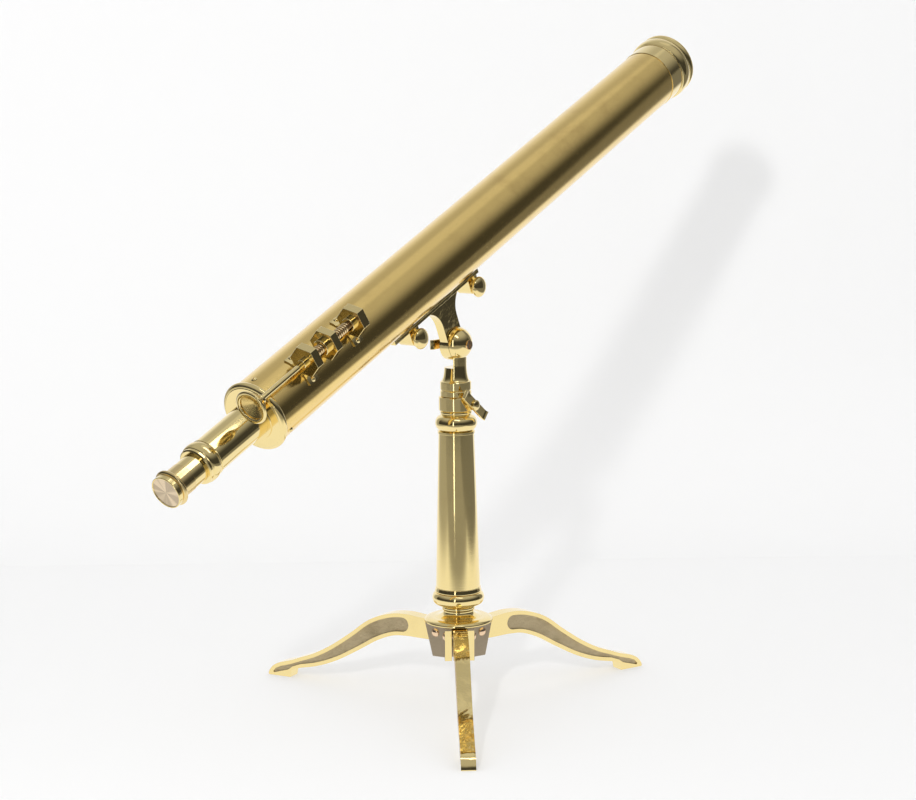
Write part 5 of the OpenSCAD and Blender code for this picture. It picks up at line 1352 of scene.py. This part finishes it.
@dataclass
class FocusDraw:
    """The focus tube with its ring, and the eyepiece in it with its cap."""

    r: float = 21.7
    inner_r: float = 20.5
    eye: float = -460
    inner: float = -170
    ring_r: float = 24
    ring_len: float = 21
    draw_r: float = 17
    draw_eye: float = -480
    draw_inner: float = -360
    body_r: float = 17.5
    nose_s: float = -504
    bead_r: float = 21.7
    bead_len: float = 7
    nose_r: float = 15.8
    nose_len: float = 4.6
    cap_r: float = 19.2
    cap_len: float = 6.4
    cap_face_r: float = 17.6
    cap_recess: float = 0.9
    ring_bore_r: float = 17.05
    ring_plug_r: float = 20.46
    body_plug_r: float = 15.96
    body_bore_r: float = 8.04

    def build(self, bench: Bench) -> None:
        """Makes the focus tube, the eyepiece and the cap, and dresses the lenses and stops."""
        front = self.eye + self.ring_len
        bench.turned("focus_tube", [(self.inner_r, front), (self.r, front), (self.r, self.inner),
                                    (self.inner_r, self.inner)], POSE.tube(), Finish.TUBE_FITTING,
                     "focus_draw",
                     steps=160, soft=0.15)
        self.ring(bench)
        bench.turned("eyepiece_tube",
                     [(16, self.draw_eye), (self.draw_r, self.draw_eye), (self.draw_r, self.draw_inner),
                                       (16, self.draw_inner)], POSE.tube(), Finish.TUBE_FITTING,
                     "eyepiece_draw",
                     soft=0.15)
        self.eyepiece(bench)
        self.cap(bench)
        bench.dress(Finish.GLASS, "eye_lens", "field_lens", "erector_lenses")
        bench.dress(Finish.BLACK, "eye_stop", "erector_cell")

    def ring(self, bench: Bench) -> None:
        """The swelling ring on the focus tube's eye end."""
        front, r = self.eye + self.ring_len, self.r
        outline = ([(self.ring_bore_r, self.eye), (r - 1.2, self.eye), (r + 0.3, self.eye + 1.2),
                    (r + 0.3, self.eye + 4)]
                   + arc(r + 0.3, self.eye + self.ring_len * 0.52, self.ring_r - r - 0.3,
                         self.ring_len * 0.32, -80, 80, 24)
                   + [(r + 0.3, front - 2), (r + 0.8, front - 1.6), (r + 0.8, front - 0.4), (r, front),
                      (self.ring_plug_r, front),
                      (self.ring_plug_r, self.eye + 40), (self.ring_bore_r, self.eye + 40)])
        bench.turned("focus_ring", outline, POSE.tube(), Finish.TUBE_FITTING, "focus_draw", steps=160,
                     soft=0.3)

    def eyepiece(self, bench: Bench) -> None:
        """The eyepiece's body with its bead and nose."""
        s = self.nose_s
        outline = ([(self.body_bore_r, self.draw_eye + 8), (self.body_bore_r, s + 3), (4, s + 3),
                    (4, s - self.nose_len),
                    (self.nose_r, s - self.nose_len), (self.nose_r, s), (self.body_r + 1, s),
                    (self.body_r + 1, s + 1)]
                   + arc(self.body_r, s + 1 + self.bead_len * 0.42, self.bead_r - self.body_r,
                         self.bead_len * 0.42,
                         -80, 90, 20)
                   + [(self.body_r, s + self.bead_len + 1), (self.body_r, self.draw_eye),
                      (self.body_plug_r, self.draw_eye),
                      (self.body_plug_r, self.draw_eye + 8)])
        bench.turned("eyepiece_body", outline, POSE.tube(), Finish.EYEPIECE, "eyepiece_draw", soft=0.3)

    def cap(self, bench: Bench) -> None:
        """The push-on cap with its dished face."""
        seat = self.nose_s - 0.02
        end, inner = seat - self.cap_len, self.nose_s - self.nose_len - 0.1
        outline = [(0, inner), (self.nose_r + 0.05, inner), (self.nose_r + 0.05, seat),
                   (self.cap_r - 0.8, seat),
                   (self.cap_r, seat - 0.8), (self.cap_r, end + 0.5), (self.cap_r - 0.5, end),
                   (self.cap_face_r + 0.3, end), (self.cap_face_r, end + self.cap_recess),
                   (0, end + self.cap_recess)]
        bm = bmesh.new()
        bench.turn(bm, outline, POSE.tube(), False, 160, 0.25)
        along = POSE.along()
        low = along.dot(POSE.on_axis()) + end
        # The flat face takes the spun finish with its painted highlight and shade streaks.
        for face in bm.faces:
            flat = face.normal.dot(along) < -0.9 and face.calc_center_median().dot(along) > low + 0.7
            face.material_index = 1 if flat else 0
        bench.finish("eyepiece_cap", bm, "cap", Slot.CAP, Finish.TUBE_FITTING, Finish.CAP)


@dataclass
class Studio:
    """The pale sweep, the studio's light and the camera at the photograph's angle."""

    eye: tuple[float, float, float] = (-2.1525, -1.6322, 0.8212)
    forward: tuple[float, float, float] = (0.7872, 0.5957, -0.1593)
    up: tuple[float, float, float] = (0.1343, 0.0866, 0.9872)
    lens: float = 86.46
    behind: tuple[float, float, float] = (0.797, 0.604, 0.0)
    right: tuple[float, float, float] = (0.604, -0.797, 0.0)
    box_way: tuple[float, float, float] = (0.32, 0.0, 0.947)
    glint_s: float = -452
    glint_rise: float = 30
    glint_far: float = 0.6
    dim_right: Ramp = (0.87, 1.2, 1.0, 0.2)
    dim_left: Ramp = (-1.35, -0.75, 0.42, 1.0)
    dim_high: Ramp = (0.75, 2.2, 1.0, 0.5)
    dim_front: Ramp = (-0.95, -0.55, 0.33, 1.0)
    glow_hung: Ramp = (-0.9, 0.6, 0.60, 0.08)
    glow_floor: float = 0.36
    far_paper: Ramp = (0.25, 0.85, 1.0, 0.45)
    roof: Ramp = (0.20, 0.85, 0.05, 0.50)
    box: Ramp = (0.960, 0.990, 0.0, 0.16)
    floor_r: float = 3.1
    wall_at: float = 0.76
    wall_h: float = 2.6
    cove_r: float = 0.3

    def build(self) -> None:
        """Sets up the floor, the light and the camera."""
        bpy.context.scene.view_settings.view_transform = "Standard"
        self.camera()
        self.floor()
        self.wall()
        self.world()
        self.lamps()

    def camera(self) -> None:
        """The camera, aimed as the photograph was."""
        data = bpy.data.cameras.new("camera")
        data.sensor_fit, data.sensor_width, data.lens = "HORIZONTAL", 36, self.lens
        data.clip_start, data.clip_end = 0.1, 50
        camera = place_object("camera", data)
        back, up = -Vector(self.forward).normalized(), Vector(self.up).normalized()
        side = up.cross(back).normalized()
        up = back.cross(side)
        rows = [[side[i], up[i], back[i], self.eye[i]] for i in range(3)]
        camera.matrix_world = Matrix([*rows, [0, 0, 0, 1]])
        bpy.context.scene.camera = camera

    def staged(self, name: str, bm: Mesh, material: bpy.types.Material) -> None:
        """Makes a piece of the studio, which isn't part of the telescope."""
        mesh = bpy.data.meshes.new(name)
        bm.to_mesh(mesh)
        bm.free()
        mesh.materials.append(material)
        piece = place_object(name, mesh)

    def floor(self) -> None:
        """The pale floor under and around the telescope."""
        bm = bmesh.new()
        bmesh.ops.create_circle(bm, cap_ends=True, segments=96, radius=self.floor_r)
        bmesh.ops.translate(bm, verts=bm.verts, vec=(0, 0, -0.0003))
        self.staged("floor", bm, self.paper("floor paper", False))

    def wall(self) -> None:
        """The sweep behind the telescope, which takes its soft shadow."""
        bm = bmesh.new()
        out, side = Vector(self.behind), Vector(self.right)
        foot = [(self.wall_at + self.cove_r * math.sin(math.radians(a)),
                 self.cove_r * (1 - math.cos(math.radians(a))))
                for a in range(0, 91, 10)]
        line = foot + [(foot[-1][0], self.wall_h)]
        verts = [bm.verts.new(out * reach - side * 3 + Vector((0, 0, rise - 0.0002))) for reach, rise in line]
        edges = [bm.edges.new((a, b)) for a, b in zip(verts, verts[1:])]
        grow(bm, bmesh.ops.extrude_edge_only(bm, edges=edges), side * 6)
        for face in bm.faces:
            face.smooth = True
        self.staged("sweep", bm, self.paper("sweep paper", True))

    def paper(self, name: str, upright: bool) -> bpy.types.Material:
        """White paper, which keeps the shadow. Glossy surfaces see it bright near the object and dim far off.

        Args:
            name: Name of the material.
            upright: Whether it hangs behind the object or lies under it.

        Returns:
            The material.
        """
        made = bpy.data.materials.new(name)
        n = Nodes(made)
        place = n.add("ShaderNodeNewGeometry").outputs["Position"]
        right, back, high = (n.dot(place, Vector(way)) for way in (self.right, self.behind, (0, 0, 1)))
        lit = n.least(n.ramp(right, *self.dim_right), n.ramp(right, *self.dim_left))
        lit = n.least(lit, n.ramp(high, *self.dim_high) if upright else n.ramp(back, *self.dim_front))
        path = n.add("ShaderNodeLightPath")
        glossy = path.outputs["Is Glossy Ray"]
        hung = n.ramp(high, 0.0, 0.5)
        share = n.math("ADD", n.times(n.ramp(right, *self.glow_hung), hung),
                       n.times(n.math("SUBTRACT", 1.0, hung), self.glow_floor))
        matt, glow, blend = (n.add(f"ShaderNode{kind}") for kind in ("BsdfDiffuse", "Emission", "MixShader"))
        matt.inputs["Color"].default_value = (0.92, 0.92, 0.92, 1)
        n.link(n.mix(glossy, (1, 1, 1, 1), n.grey(lit)), glow.inputs["Color"])
        n.link(matt.outputs["BSDF"], blend.inputs[1])
        n.link(glow.outputs["Emission"], blend.inputs[2])
        shown = n.most(glossy, path.outputs["Is Transmission Ray"])
        n.settle(blend, Fac=n.most(shown, n.times(path.outputs["Is Camera Ray"], share)))
        return made

    def world(self) -> None:
        """The studio's surroundings by direction: white behind the object, dim at the sides."""
        made = bpy.data.worlds.new("studio")
        bpy.context.scene.world = made
        n = Nodes(made)
        way = n.add("ShaderNodeTexCoord").outputs["Generated"]
        behind, rise, boxed = (n.dot(way, Vector(v)) for v in (self.behind, (0, 0, 1), self.box_way))
        paper = n.times(n.ramp(behind, 0.35, 0.65), n.ramp(rise, *self.far_paper))
        path = n.add("ShaderNodeLightPath")
        seen = n.most(path.outputs["Is Camera Ray"], path.outputs["Is Transmission Ray"])
        bright = n.math("ADD", n.most(paper, n.ramp(rise, *self.roof)), n.ramp(boxed, *self.box))
        around = n.mix(path.outputs["Is Glossy Ray"], (0.84, 0.84, 0.84, 1), n.grey(bright))
        n.settle(n.add("ShaderNodeBackground"), Color=n.mix(seen, around, (0.95, 0.95, 0.95, 1)),
                 Strength=1.0)

    def lamps(self) -> None:
        """A tall panel beside the camera, the lamp that draws the shadow and the box over the eye end."""
        aim = Vector((-0.05, 0, 0.45))
        for name, place, power, size, level in (
                ("panel", (-1.49, -0.586, 0.45), 1.7, (0.12, 1.7), True),
                ("key lamp", (-2.507, -1.127, 1.651), 27.0, (0.14, 0.20), False)):
            sight = aim - Vector(place)
            if level:
                sight.z = 0
            turn = sight.to_track_quat("-Z", "Y").to_matrix().to_4x4()
            self.lamp(name, power, size, Matrix.Translation(place) @ turn).visible_glossy = level
        self.glint()

    def glint(self) -> None:
        """A soft box over the eye end, which only the focus tube and the eyepiece reflect to the camera."""
        along, near = POSE.along(), POSE.on_axis(self.glint_s) * MM
        sight = (near - Vector(self.eye)).normalized()
        flat = sight - along * sight.dot(along)
        toward, reach = -flat.normalized(), sight.dot(along) / flat.length
        over = along.cross(toward)
        over = over if over.z > 0 else -over
        rise = math.radians(self.glint_rise)
        way = toward * math.cos(rise) + over * math.sin(rise)
        place = Pose.basis(along, way, near + (along * reach + way) * self.glint_far)
        self.lamp("glint box", 0.40, (0.12, 0.46), place).visible_diffuse = False

    @staticmethod
    def lamp(name: str, power: float, size: tuple[float, float], place: Matrix) -> bpy.types.Object:
        """An oblong area lamp that the camera doesn't see."""
        data = bpy.data.lights.new(name, "AREA")
        data.energy, data.shape = power, "RECTANGLE"
        data.size, data.size_y = size
        made = place_object(name, data)
        made.matrix_world = place
        made.visible_camera = False
        return made


def main() -> None:
    """Builds the studio and the telescope's sub-assemblies in order."""
    logging.basicConfig(level=logging.INFO, format="%(message)s")
    Studio().build()
    bench = Bench()
    for assembly in (Hub(), Pillar(), Legs(), Head(), Saddle(), MainTube(), FocusGear(), FocusDraw()):
        assembly.build(bench)


if __name__ == "__main__":
    main()
